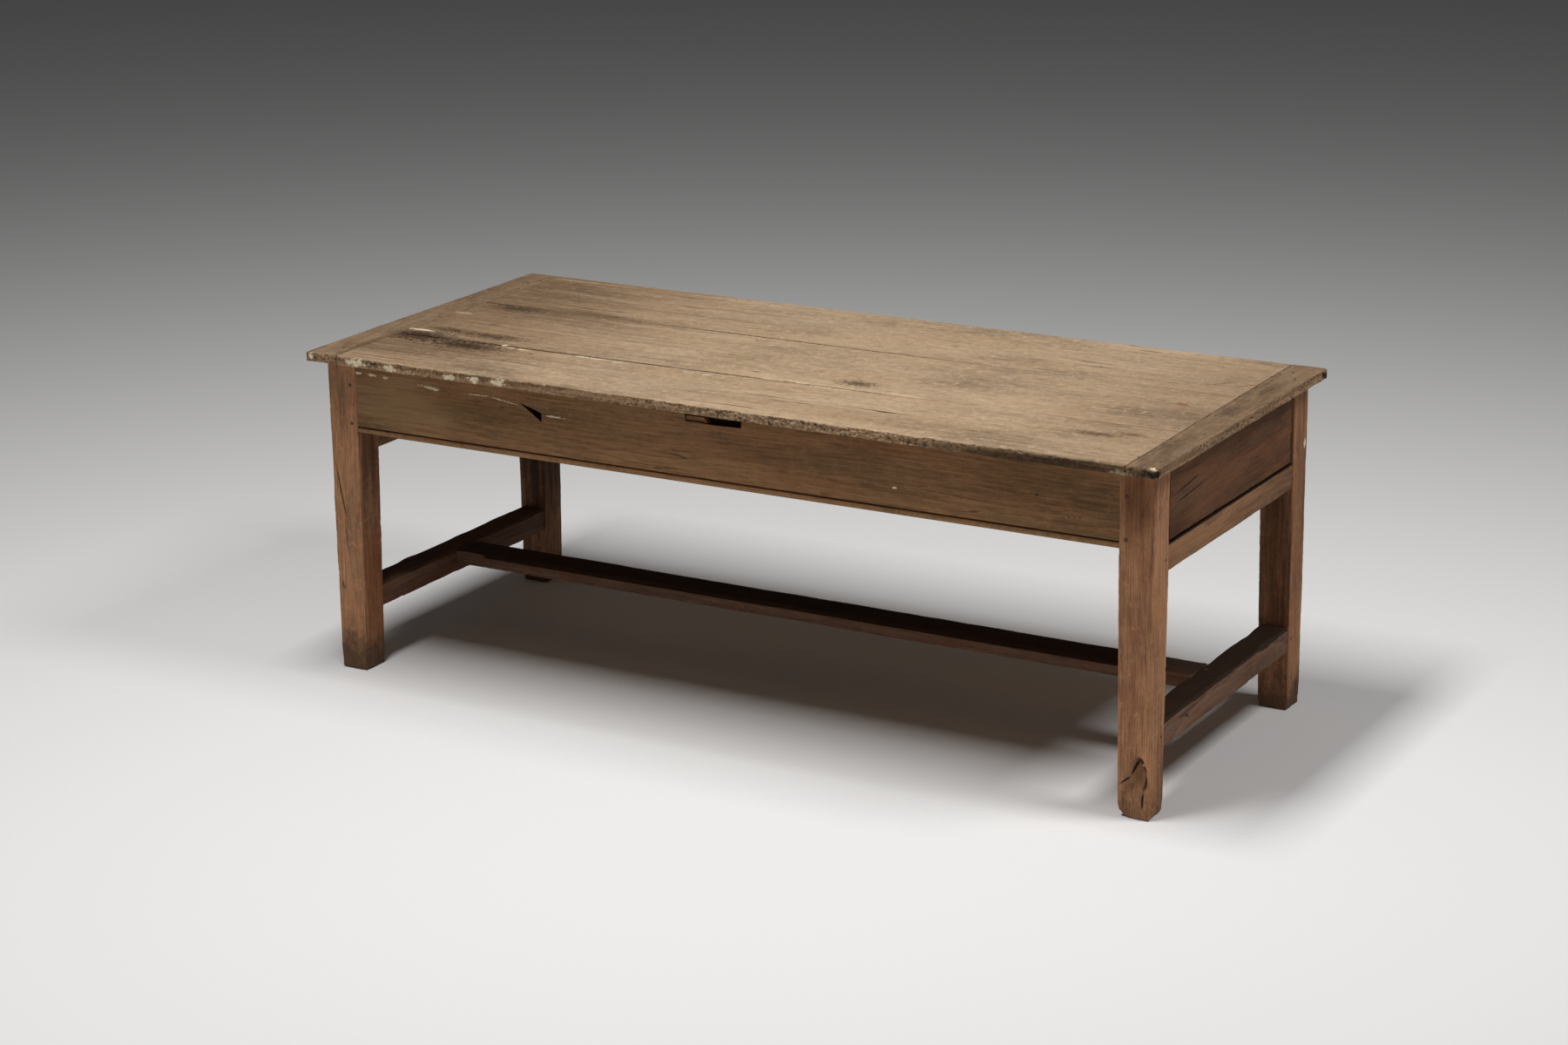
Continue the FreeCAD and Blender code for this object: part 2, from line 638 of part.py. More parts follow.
def rail_pegs(grow=0.0):
    return end_tenon_pegs(LEG_INNER_Y, RAIL_BOTTOM + RAIL_HEIGHT / 2, grow)


def stretcher_pegs(grow=0.0):
    return end_tenon_pegs(stretcher_shoulder_y(), STRETCHER_BOTTOM + STRETCHER_HEIGHT / 2, grow)


def long_stretcher_pegs(grow=0.0):
    """One upright peg through each tenon of the long stretcher."""
    pegs = []
    for end in ENDS.values():
        start = (end * (STRETCHER_INNER_X + TENON_PEG_INSET), 0, STRETCHER_TOP)
        pegs.append(peg(start, (0, 0, -1), STRETCHER_HEIGHT, TENON_PEG_DIAMETER, grow))
    return pegs


def breadboard_pegs(grow=0.0):
    """One peg through the end tongues of each board."""
    pegs = []
    boards = ((FRONT_EDGE, FRONT_JOINT), (FRONT_JOINT, REAR_JOINT), (REAR_JOINT, REAR_EDGE))
    for front_line, rear_line in boards:
        left_y = (front_line[0] + rear_line[0]) / 2
        right_y = (front_line[1] + rear_line[1]) / 2
        left = (LEFT_SHOULDER - END_TONGUE_LENGTH / 2, left_y, TABLE_HEIGHT)
        right = (right_shoulder(right_y) + END_TONGUE_LENGTH / 2, right_y, TABLE_HEIGHT)
        for start in (left, right):
            pegs.append(peg(start, (0, 0, -1), TOP_THICKNESS, END_PEG_DIAMETER, grow))
    return pegs


def top_nails(grow=0.0):
    """Two nails through the top into the head of each leg."""
    nails = []
    for end, side in CORNERS:
        middle_x = end * (LEG_OUTER_X - LEG_HEAD_X / 2)
        middle_y = side * (LEG_OUTER_Y - LEG_HEAD_Y / 2)
        for turn in (-1, 1):
            start = (middle_x + turn * TOP_NAIL_OFFSET_X, middle_y + turn * TOP_NAIL_OFFSET_Y, TABLE_HEIGHT)
            nails.append(nail(start, (0, 0, -1), TOP_NAIL_LENGTH, grow))
    return nails


def guide_nails(grow=0.0):
    """Nails through the guides into the aprons."""
    nails = []
    for end, side in CORNERS:
        for share in (GUIDE_NAIL_NEAR, GUIDE_NAIL_FAR):
            start = (end * share * LEG_INNER_X, side * GUIDE_INNER_Y, RAIL_TOP + GUIDE_HEIGHT / 2)
            nails.append(nail(start, (0, side, 0), GUIDE_NAIL_LENGTH, grow))
    return nails


def runner_nails(grow=0.0):
    """Nails up through the runners into the guides."""
    nails = []
    line_y = RUNNER_OUTER_Y - RUNNER_OUTER_LEDGE / 2
    for end, side in CORNERS:
        for share in (RUNNER_NAIL_NEAR, RUNNER_NAIL_FAR):
            start = (end * share * LEG_INNER_X, side * line_y, RUNNER_BOTTOM)
            nails.append(nail(start, (0, 0, 1), RUNNER_NAIL_LENGTH, grow))
    return nails


def stop_nails(grow=0.0):
    """One nail down through each stop block into its runner."""
    nails = []
    for end, side in CORNERS:
        start = (
            end * (STOP_FACE_X - STOP_LENGTH / 2),
            side * (RUNNER_INNER_Y + STOP_WIDTH / 2),
            RAIL_TOP + STOP_HEIGHT,
        )
        nails.append(nail(start, (0, 0, -1), STOP_NAIL_LENGTH, grow))
    return nails


def drawer_nails(end, grow=0.0):
    """Nails from the sides and from the rear bottom board into the back of a drawer."""
    back_x = end * (DRAWER_REAR_X + DRAWER_BACK_THICKNESS / 2)
    back_top = DRAWER_SIDE_TOP - DRAWER_BACK_DROP
    nails = []
    for side in SIDES.values():
        for share in (BACK_NAIL_LOW, BACK_NAIL_HIGH):
            height = DRAWER_BOTTOM_HIGH + share * (back_top - DRAWER_BOTTOM_HIGH)
            start = (back_x, side * DRAWER_HALF_WIDTH, height)
            nails.append(nail(start, (0, -side, 0), DRAWER_NAIL_LENGTH, grow))
    for share in (-BOTTOM_NAIL_OUTER, 0, BOTTOM_NAIL_OUTER):
        start = (back_x, share * DRAWER_INNER_Y, DRAWER_BOTTOM_LOW)
        nails.append(nail(start, (0, 0, 1), DRAWER_NAIL_LENGTH, grow))
    return nails


def right_drawer_nails(grow=0.0):
    return drawer_nails(ENDS["right"], grow)


def left_drawer_nails(grow=0.0):
    return drawer_nails(ENDS["left"], grow)


FASTENERS = {
    "apron_pegs": apron_pegs,
    "rail_pegs": rail_pegs,
    "stretcher_pegs": stretcher_pegs,
    "long_stretcher_pegs": long_stretcher_pegs,
    "breadboard_pegs": breadboard_pegs,
    "top_nails": top_nails,
    "guide_nails": guide_nails,
    "runner_nails": runner_nails,
    "stop_nails": stop_nails,
    "right_drawer_nails": right_drawer_nails,
    "left_drawer_nails": left_drawer_nails,
}


def drilled(piece, holes):
    """A piece of wood with a hole for every peg or nail that goes through it."""
    met = [hole for hole in holes if hole.BoundBox.intersect(piece.BoundBox)]
    if not met:
        return piece
    return piece.cut(met)


def solids_of(shape):
    """The plain solid, or a compound where a node holds several."""
    solids = shape.Solids
    if len(solids) == 1:
        return solids[0]
    return Part.makeCompound(solids)


def main():
    pieces = {}
    pieces.update(top_boards())
    pieces.update(breadboard_ends())
    pieces.update(legs())
    pieces.update(aprons())
    pieces.update(drawer_rails())
    pieces.update(end_stretchers())
    pieces.update(long_stretcher())
    pieces.update(drawer_ways())
    for name, end in ENDS.items():
        pieces.update(drawer(name, end))
    holes = []
    for group in FASTENERS.values():
        holes += group(FASTENER_CLEARANCE)
    nodes = {name: drilled(piece, holes) for name, piece in pieces.items()}
    for name, group in FASTENERS.items():
        nodes[name] = Part.makeCompound(group())
    os.makedirs("parts", exist_ok=True)
    for name, shape in nodes.items():
        solids_of(shape).exportStep(os.path.join("parts", name + ".step"))


main()
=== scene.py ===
import collections
import functools
import itertools
import math

import bmesh
import bpy
import numpy as np
from mathutils import Matrix, Vector


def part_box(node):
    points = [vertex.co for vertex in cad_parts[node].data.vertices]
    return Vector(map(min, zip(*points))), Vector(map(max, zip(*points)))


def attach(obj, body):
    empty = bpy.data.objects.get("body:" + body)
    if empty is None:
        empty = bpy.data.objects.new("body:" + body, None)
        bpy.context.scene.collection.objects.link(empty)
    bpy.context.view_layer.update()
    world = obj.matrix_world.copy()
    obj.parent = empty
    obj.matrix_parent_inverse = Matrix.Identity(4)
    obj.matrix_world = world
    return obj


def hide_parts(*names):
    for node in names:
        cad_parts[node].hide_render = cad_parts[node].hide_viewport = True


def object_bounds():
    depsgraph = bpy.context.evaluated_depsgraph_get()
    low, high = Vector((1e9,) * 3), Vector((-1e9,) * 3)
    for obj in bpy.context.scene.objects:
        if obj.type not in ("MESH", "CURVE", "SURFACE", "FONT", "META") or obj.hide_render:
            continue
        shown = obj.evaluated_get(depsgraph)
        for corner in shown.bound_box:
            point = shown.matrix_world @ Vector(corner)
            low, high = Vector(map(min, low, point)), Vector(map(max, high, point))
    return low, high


bl_info = {
    "name": "Farmhouse kitchen table",
    "version": (1, 0, 0),
    "blender": (4, 5, 0),
    "location": "3D View > Sidebar > Kitchen table",
    "description": "Dresses a pegged oak kitchen table with two drawers in worn timber",
    "category": "Object",
}

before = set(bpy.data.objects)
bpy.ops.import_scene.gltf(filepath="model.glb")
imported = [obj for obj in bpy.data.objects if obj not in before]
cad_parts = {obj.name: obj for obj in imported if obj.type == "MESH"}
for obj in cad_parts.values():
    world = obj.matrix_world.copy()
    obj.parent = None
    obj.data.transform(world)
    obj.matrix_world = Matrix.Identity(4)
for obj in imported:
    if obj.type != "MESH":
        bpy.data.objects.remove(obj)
CAD_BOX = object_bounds()

ENDS = ("left", "right")
# Corners of a plan: front left, front right, rear right and rear left
AROUND = ((-1, -1), (1, -1), (1, 1), (-1, 1))
SIDES = {"left": (0, -1), "right": (0, 1), "front": (1, -1), "rear": (1, 1), "foot": (2, -1)}
UNTURNED = (0.0, 0.0, 0.0)
GRAIN_TURN = {"X": UNTURNED, "Y": (0.0, 0.0, -math.pi / 2), "Z": (0.0, math.pi / 2, 0.0)}
SMOOTH_ANGLE = math.radians(38)
PIN_SIDES = 12

# Large numbers that mix a place and a seed
PLACE_MIX = np.array((374761393, 668265263, 974711))
SEED_MIX, LAST_MIX = 1442695041, 1274126177
# Lengths that differ by less are the same
SAME = 1e-5
# Width of one wave of a wave texture at scale 1
WAVE_WIDTH = 0.314
# Width of a growth ring
RING_WIDTH = 0.005
# What frays the rim of a mark, how far, and the share of its reach within which the mark is full
FRAYS = {"grain": ("streaks", 2.6, 0.45), "soft": ("streaks", 1.1, 0.2), "blot": ("rag", 2.4, 0.1),
         "crumb": ("rag", 3.2, 0.45), "line": ("rag", 1.2, 0.45)}
# How far the wear of an open edge, the dirt of a seam and its closing reach into a board of the top
EDGE_REACH, SEAM_REACH, DRAWN_REACH = 0.03, 0.008, 0.006
# Shares of a long board's length between which its seams close
CLOSING = (0.50, 0.78)

Mark = collections.namedtuple("Mark", "colour place reach strength turn fray mode",
                              defaults=(UNTURNED, "grain", "MIX"))


def tone(red, green, blue):
    """A colour given as 0 to 255 on a screen, in the linear values that shaders take."""
    shares = np.array((red, green, blue)) / 255.0
    linear = np.where(shares <= 0.04045, shares / 12.92, ((shares + 0.055) / 1.055) ** 2.4)
    return tuple(float(share) for share in linear)


def amount(name, description, default, low=0.0, high=1.0, unit="LENGTH"):
    """A length, or another number, that a user can set between two limits."""
    return bpy.props.FloatProperty(name=name, description=description, default=default, min=low, max=high,
                                   unit=unit)


def paint(name, description, default):
    """A colour that a user can set."""
    return bpy.props.FloatVectorProperty(name=name, description=description, default=default,
                                         subtype="COLOR")


class KitchenTableWear(bpy.types.PropertyGroup):
    seed: bpy.props.IntProperty(
        name="Seed", description="Moves the nicks, pits and ripples to other places", default=11, min=0)
    frame_arris: amount("Frame arris", "Radius worn on the edges of legs, rails and stretchers",
                        0.0028, 0.0005, 0.01)
    top_arris: amount("Top arris", "Radius worn on the outer edges of the top", 0.0036, 0.0005, 0.01)
    joint_arris: amount("Joint arris", "Radius on edges that meet another board", 0.0010, 0.0003, 0.005)
    apron_arris: amount("Apron arris", "Radius worn on the edges of the aprons", 0.0012, 0.0003, 0.005)
    drawer_arris: amount("Drawer arris", "Radius worn on the edges of the drawer fronts",
                         0.0016, 0.0003, 0.005)
    joint_gap: amount("Joint gap", "Gap between two boards of the top, which closes to the right",
                      0.0014, 0.0, 0.003)
    nick: amount("Nicks", "Depth of the knocks along the edges", 0.0040, 0.0, 0.01)
    pit: amount("Pits", "Depth of the worm-eaten pits in the edges of the top", 0.0030, 0.0, 0.01)
    ripple: amount("Ripple", "Depth of the waves that hand tools and use leave in a face",
                   0.0009, 0.0, 0.004)
    corner: amount("Top corner", "Radius of the top's four corners seen from above", 0.004, 0.001, 0.05)
    taper_top: amount("Taper top", "Height at which the taper of the legs starts", 0.495, 0.1, 0.6)


class KitchenTableFinish(bpy.types.PropertyGroup):
    top: paint("Top", "Scrubbed oak of the long boards", tone(170, 145, 117))
    breadboard: paint("Breadboard ends", "Greyer oak of the end boards", tone(136, 112, 87))
    edge: paint("Top edge", "Worm-eaten edge of the top", tone(150, 119, 88))
    apron: paint("Aprons", "Olive brown oak of the aprons", tone(141, 104, 71))
    leg: paint("Legs", "Warm brown oak of the legs", tone(168, 122, 89))
    rail: paint("Rails", "Reddish oak of the drawer rails", tone(140, 102, 72))
    stretcher: paint("Stretchers", "Dark oak of the stretchers", tone(118, 88, 69))
    drawer_front: paint("Drawer fronts", "Brown oak of the drawer fronts", tone(106, 70, 45))
    inner: paint("Inner wood", "Bare wood of drawers and runners", tone(150, 120, 86))
    peg: paint("Pegs", "End grain of the pegs", tone(104, 74, 54))
    iron: paint("Iron", "Old nails", tone(62, 52, 46))
    grime: paint("Grime", "Old dirt in cracks and feet", tone(34, 24, 17))
    dust: paint("Dust", "Grey dirt on the feet", tone(74, 57, 44))
    cream: paint("Filler", "Pale filler and scraped wood", tone(238, 219, 186))
    # Darkens smudges on the top, and is also multiplied in as painted shade on leg faces under the top
    smudges_and_painted_shade: paint("Smudges", "Share of light that dark smudges leave", (0.24, 0.21, 0.18))
    # Also multiplied in as painted shade on the head of the front right leg and on the rear legs
    shade: paint("Shade", "Share of light that old dirt leaves", (0.46, 0.39, 0.33))
    saw_marks: amount("Saw marks", "Distance between the marks that the saw left across the top",
                      0.0065, 0.002, 0.05)


class KitchenTableStage(bpy.types.PropertyGroup):
    floor: paint("Floor", "Colour of the plain floor", tone(240, 239, 238))
    key_power: amount("Key power", "Power of the lamp over the table", 210.0, 0.0, 1000.0, "POWER")
    side_power: amount("Side power", "Power of the soft lamp to the right", 80.0, 0.0, 1000.0, "POWER")
    fill: amount("Fill", "Strength of the even light from all round", 0.045, unit="NONE")
    lens: amount("Lens", "Focal length of the camera in millimetres", 77.49, 10.0, 300.0, "CAMERA")


def settings(context):
    """The wear and the finish that the user has set."""
    return context.scene.kitchen_table_wear, context.scene.kitchen_table_finish


def scatter(cells, seed):
    """Repeatable numbers from 0 to 1, one for each whole-numbered place."""
    mixed = cells @ PLACE_MIX + seed * SEED_MIX
    mixed = (mixed ^ (mixed >> 13)) * LAST_MIX
    mixed = mixed & 0x7FFFFFFF
    return ((mixed ^ (mixed >> 11)) & 0xFFFFF) / float(0xFFFFF)


def rough(points, size, seed):
    """Smooth noise from -1 to 1, with features of the given size along each axis."""
    spots = points / np.asarray(size)
    cells = np.floor(spots).astype(np.int64)
    part = spots - cells
    part = part ** 3 * (part * (part * 6 - 15) + 10)
    total = np.zeros(len(points))
    for corner in itertools.product((0, 1), repeat=3):
        share = np.prod(np.where(corner, part, 1 - part), axis=1)
        total += share * scatter(cells + np.array(corner), seed)
    return 2 * total - 1


def bumps(points, size, seed, level=0.0):
    """The part of the noise that rises above 0 once the level is added."""
    return np.clip(rough(points, size, seed) + level, 0, None)


def smooth(values, low, high):
    """0 at low, 1 at high and an even rise between."""
    part = np.clip((values - low) / (high - low), 0, 1)
    return part * part * (3 - 2 * part)


def stations(low, high, step, fine, border):
    """Places along one side of a timber, close together near both ends."""
    border = min(border, (high - low) / 2)
    inner = np.linspace(low + border, high - border, max(2, int((high - low - 2 * border) / step) + 2))
    rim = np.linspace(0, border, max(2, int(border / fine) + 1))
    return np.unique(np.round(np.concatenate((low + rim, inner, high - rim)), 7))


class Timber:
    """A length of timber as a closed shell of points, worn and shaped before it becomes a mesh."""

    # Least radius of an edge, and the most as a share of the thinnest side
    LEAST_RADIUS, MOST_RADIUS = 0.0002, 0.47
    # Share of the radius that rounding takes off an edge
    ROUNDING = 0.41
    # Level of the noise above which a nick starts
    NICK_LEVEL = 0.35

    def __init__(self, low, high, steps, fine=0.0016, border=0.009):
        self.low = np.array(low, float)
        self.high = np.array(high, float)
        places = [stations(*ends, step, fine, border) for *ends, step in zip(self.low, self.high, steps)]
        counts = [len(place) for place in places]
        skin = np.ones(counts, bool)
        skin[1:-1, 1:-1, 1:-1] = False
        number = np.full(counts, -1)
        number[skin] = np.arange(skin.sum())
        self.points = np.stack([place[at] for place, at in zip(places, np.nonzero(skin))], axis=1)
        self.quads = np.concatenate([self.face(number, axis, end) for axis in range(3) for end in (0, -1)])
        self.away = np.zeros_like(self.points)
        self.edge, self.soil, self.seam = np.zeros((3, len(self.points)))

    @staticmethod
    def face(number, axis, end):
        """Quads of one face of the shell, pointing outwards."""
        grid = np.take(number, end, axis=axis)
        corners = [grid[:-1, :-1], grid[1:, :-1], grid[1:, 1:], grid[:-1, 1:]]
        quads = np.stack([corner.ravel() for corner in corners], axis=1)
        outward = (axis == 1) == (end == 0)
        return quads if outward else quads[:, ::-1]

    def near(self, side, reach):
        """1 on a side of the timber, falling to 0 at the reach from it."""
        axis, sign = SIDES[side]
        ends = self.high if sign > 0 else self.low
        return np.clip(1 - np.abs(self.points[:, axis] - ends[axis]) / reach, 0, 1)

    def facing(self, side):
        """1 where the shell looks out of a side, 0 where it looks another way."""
        axis, sign = SIDES[side]
        return np.clip(self.away[:, axis] * sign, 0, 1)

    def upright(self):
        """1 where the shell looks sideways, 0 where it looks up or down."""
        return 1 - self.away[:, 2] ** 2

    def ease(self, radius):
        """Rounds edges and corners by a radius given for each point."""
        limit = self.MOST_RADIUS * (self.high - self.low).min()
        radius = np.clip(radius, self.LEAST_RADIUS, limit)[:, None]
        core = np.clip(self.points, self.low + radius, self.high - radius)
        reach = self.points - core
        self.away = reach / np.linalg.norm(reach, axis=1, keepdims=True)
        eased = core + self.away * radius
        moved = np.linalg.norm(eased - self.points, axis=1)
        self.edge = np.clip(moved / (self.ROUNDING * radius[:, 0]), 0, 1)
        self.points = eased

    def knocks(self, arris, nick, seed, size=0.045):
        """Radius of the worn edges: an arris that swells and shrinks, with deeper nicks here and there."""
        swell = rough(self.points, (size, size, size), seed)
        bite = bumps(self.points, np.full(3, size / 3), seed + 1, -self.NICK_LEVEL) / (1 - self.NICK_LEVEL)
        crumbs = bumps(self.points, np.full(3, size / 7), seed + 2)
        return arris * (1 + 0.5 * swell) + nick * (bite ** 1.4 + 0.5 * crumbs)

    def sink(self, depth):
        """Moves the shell inwards."""
        self.points = self.points - self.away * depth[:, None]

    def ripples(self, depth, size, seed):
        """Low waves left in the faces by hand tools."""
        wave = rough(self.points, size, seed) + 0.5 * rough(self.points, np.asarray(size) / 2.3, seed + 1)
        self.sink(depth * np.clip(0.5 + 0.4 * wave, 0, 1))

    def mesh(self, name):
        """The shell as a mesh with its worn edges, soil and seams as attributes."""
        made = bpy.data.meshes.new(name)
        made.from_pydata(self.points.tolist(), [], self.quads.tolist())
        for label in ("edge", "soil", "seam"):
            layer = made.attributes.new(label, "FLOAT", "POINT")
            layer.data.foreach_set("value", getattr(self, label).astype(np.float32))
        return made


def hewn(low, high, steps, arris, nick, ripple, waves, seed, **grid):
    """A timber with worn arrises and with the waves of hand tools in its faces."""
    timber = Timber(low, high, steps, **grid)
    timber.ease(timber.knocks(arris, nick, seed))
    timber.ripples(ripple, waves, seed + 3)
    return timber


def settle(piece, body, node):
    """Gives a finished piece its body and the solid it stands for."""
    piece.data.shade_smooth()
    piece.data.set_sharp_from_angle(angle=SMOOTH_ANGLE)
    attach(piece, body)
    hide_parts(node)


def stand(name, mesh, material):
    """A new object at the origin that shows a mesh in a material."""
    mesh.materials.clear()
    mesh.materials.append(material)
    piece = bpy.data.objects.new(name, mesh)
    bpy.context.scene.collection.objects.link(piece)
    return piece


def dress(node, timber, material, body="frame"):
    """Stands a worn timber in the place of its solid."""
    name = node + "_worn"
    settle(stand(name, timber.mesh(name), material), body, node)


def plain_mesh(piece):
    """The mesh of an object once its modifiers have run. They are taken off."""
    shown = piece.evaluated_get(bpy.context.evaluated_depsgraph_get())
    mesh = bpy.data.meshes.new_from_object(shown)
    piece.modifiers.clear()
    return mesh


def solid_points(node):
    """Points of a solid of the frame."""
    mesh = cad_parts[node].data
    places = np.empty(len(mesh.vertices) * 3)
    mesh.vertices.foreach_get("co", places)
    return places.reshape(-1, 3)


def plan_corners(node):
    """Front-left, front-right, rear-right and rear-left corner of a board's upper face."""
    points = solid_points(node)
    upper = points[points[:, 2] > points[:, 2].max() - SAME][:, :2]
    return np.array([upper[np.argmax(upper @ np.array(way))] for way in AROUND])


def between_legs(axis, tuck):
    """Ends of a length that runs between two legs, tucked a little into both."""
    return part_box("leg_front_left")[1][axis] - tuck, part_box("leg_rear_right")[0][axis] + tuck


class Tree:
    """A tree of nodes."""

    def node(self, kind, inputs=None, **options):
        """A node with its options chosen and its inputs linked or set."""
        made = self.tree.nodes.new(kind)
        for label, value in options.items():
            setattr(made, label, value)
        for key, value in (inputs or {}).items():
            if isinstance(value, bpy.types.NodeSocket):
                self.tree.links.new(value, made.inputs[key])
            else:
                made.inputs[key].default_value = value
        return made

    def vector(self, operation, first, second):
        """Two vectors put together."""
        return self.node("ShaderNodeVectorMath", {0: first, 1: second}, operation=operation).outputs[0]


class Finish(Tree):
    """One procedural material, laid down node by node."""

    def __init__(self, name):
        self.material = bpy.data.materials.new(name)
        self.material.use_nodes = True
        self.tree = self.material.node_tree
        self.tree.nodes.clear()
        self.place = self.node("ShaderNodeTexCoord").outputs["Object"]
        self.rag = self.noise(self.place, (90.0, 90.0), detail=4.0, roughness=0.7)

    def math(self, operation, *values):
        return self.node("ShaderNodeMath", dict(enumerate(values)), operation=operation).outputs[0]

    def product(self, *values):
        return functools.reduce(functools.partial(self.math, "MULTIPLY"), values)

    def add(self, value, share, rest):
        """A share of a value, added to the rest."""
        return self.math("MULTIPLY_ADD", value, share, rest)

    def moved(self, vector, shift=UNTURNED, turn=UNTURNED, scale=(1.0, 1.0, 1.0), way="POINT"):
        inputs = {"Vector": vector, "Location": shift, "Rotation": turn, "Scale": scale}
        return self.node("ShaderNodeMapping", inputs, vector_type=way).outputs[0]

    def noise(self, vector, scale, detail=3.0, roughness=0.55, shift=UNTURNED, part=0):
        """Noise with a scale along X, a scale along Y and, if it differs, one along Z."""
        placed = self.moved(vector, shift=shift, scale=(*scale, scale[-1])[:3])
        inputs = {"Vector": placed, "Scale": 1.0, "Detail": detail, "Roughness": roughness}
        return self.node("ShaderNodeTexNoise", inputs).outputs[part]

    def wave(self, vector, width, distortion, detail_scale, **options):
        """Waves of a width, bent by noise."""
        inputs = {"Vector": vector, "Scale": WAVE_WIDTH / width, "Distortion": distortion, "Detail": 3.0,
                  "Detail Scale": detail_scale}
        return self.node("ShaderNodeTexWave", inputs, **options).outputs[1]

    def between(self, value, low, high):
        """0 at low, 1 at high and an even rise between."""
        inputs = {"Value": value, "From Min": low, "From Max": high}
        return self.node("ShaderNodeMapRange", inputs, interpolation_type="SMOOTHSTEP").outputs[0]

    def blend(self, share, first, second, mode="MIX"):
        """The first colour with a share of the second laid on it."""
        colours = [value if isinstance(value, bpy.types.NodeSocket) else (*value[:3], 1.0)
                   for value in (first, second)]
        inputs = {0: share, 6: colours[0], 7: colours[1]}
        return self.node("ShaderNodeMix", inputs, data_type="RGBA", blend_type=mode).outputs[2]

    def ramp(self, value, places, colours):
        """Colours that stand at places along a value."""
        made = self.node("ShaderNodeValToRGB", {0: value})
        elements = made.color_ramp.elements
        while len(elements) < len(places):
            elements.new(0.5)
        for element, place, colour in zip(elements, places, colours):
            element.position = place
            element.color = (*colour[:3], 1.0)
        return made.outputs[0]

    def layer(self, name):
        return self.node("ShaderNodeAttribute", attribute_name=name).outputs["Fac"]

    def close(self, colour, roughness, height, bump=0.5, depth=0.0008, specular=0.25):
        """Ends the material in a shader with its colour, roughness and bump."""
        relief = {"Height": height, "Strength": bump, "Distance": depth}
        normal = self.node("ShaderNodeBump", relief).outputs[0]
        inputs = {"Base Color": colour, "Roughness": roughness, "Normal": normal,
                  "Specular IOR Level": specular}
        shader = self.node("ShaderNodeBsdfPrincipled", inputs)
        self.node("ShaderNodeOutputMaterial", {"Surface": shader.outputs[0]})
        return self.material


def shade(colour, place, reach, strength, fray="soft"):
    """A mark that darkens the wood and lets its grain show."""
    return Mark(colour, place, reach, strength, fray=fray, mode="MULTIPLY")


def three_tones(colour, dark=0.52, light=1.38):
    """A dark, a middle and a light tone of one colour."""
    return [tuple(min(1.0, part * share) for part in colour) for share in (dark, 1.0, light)]


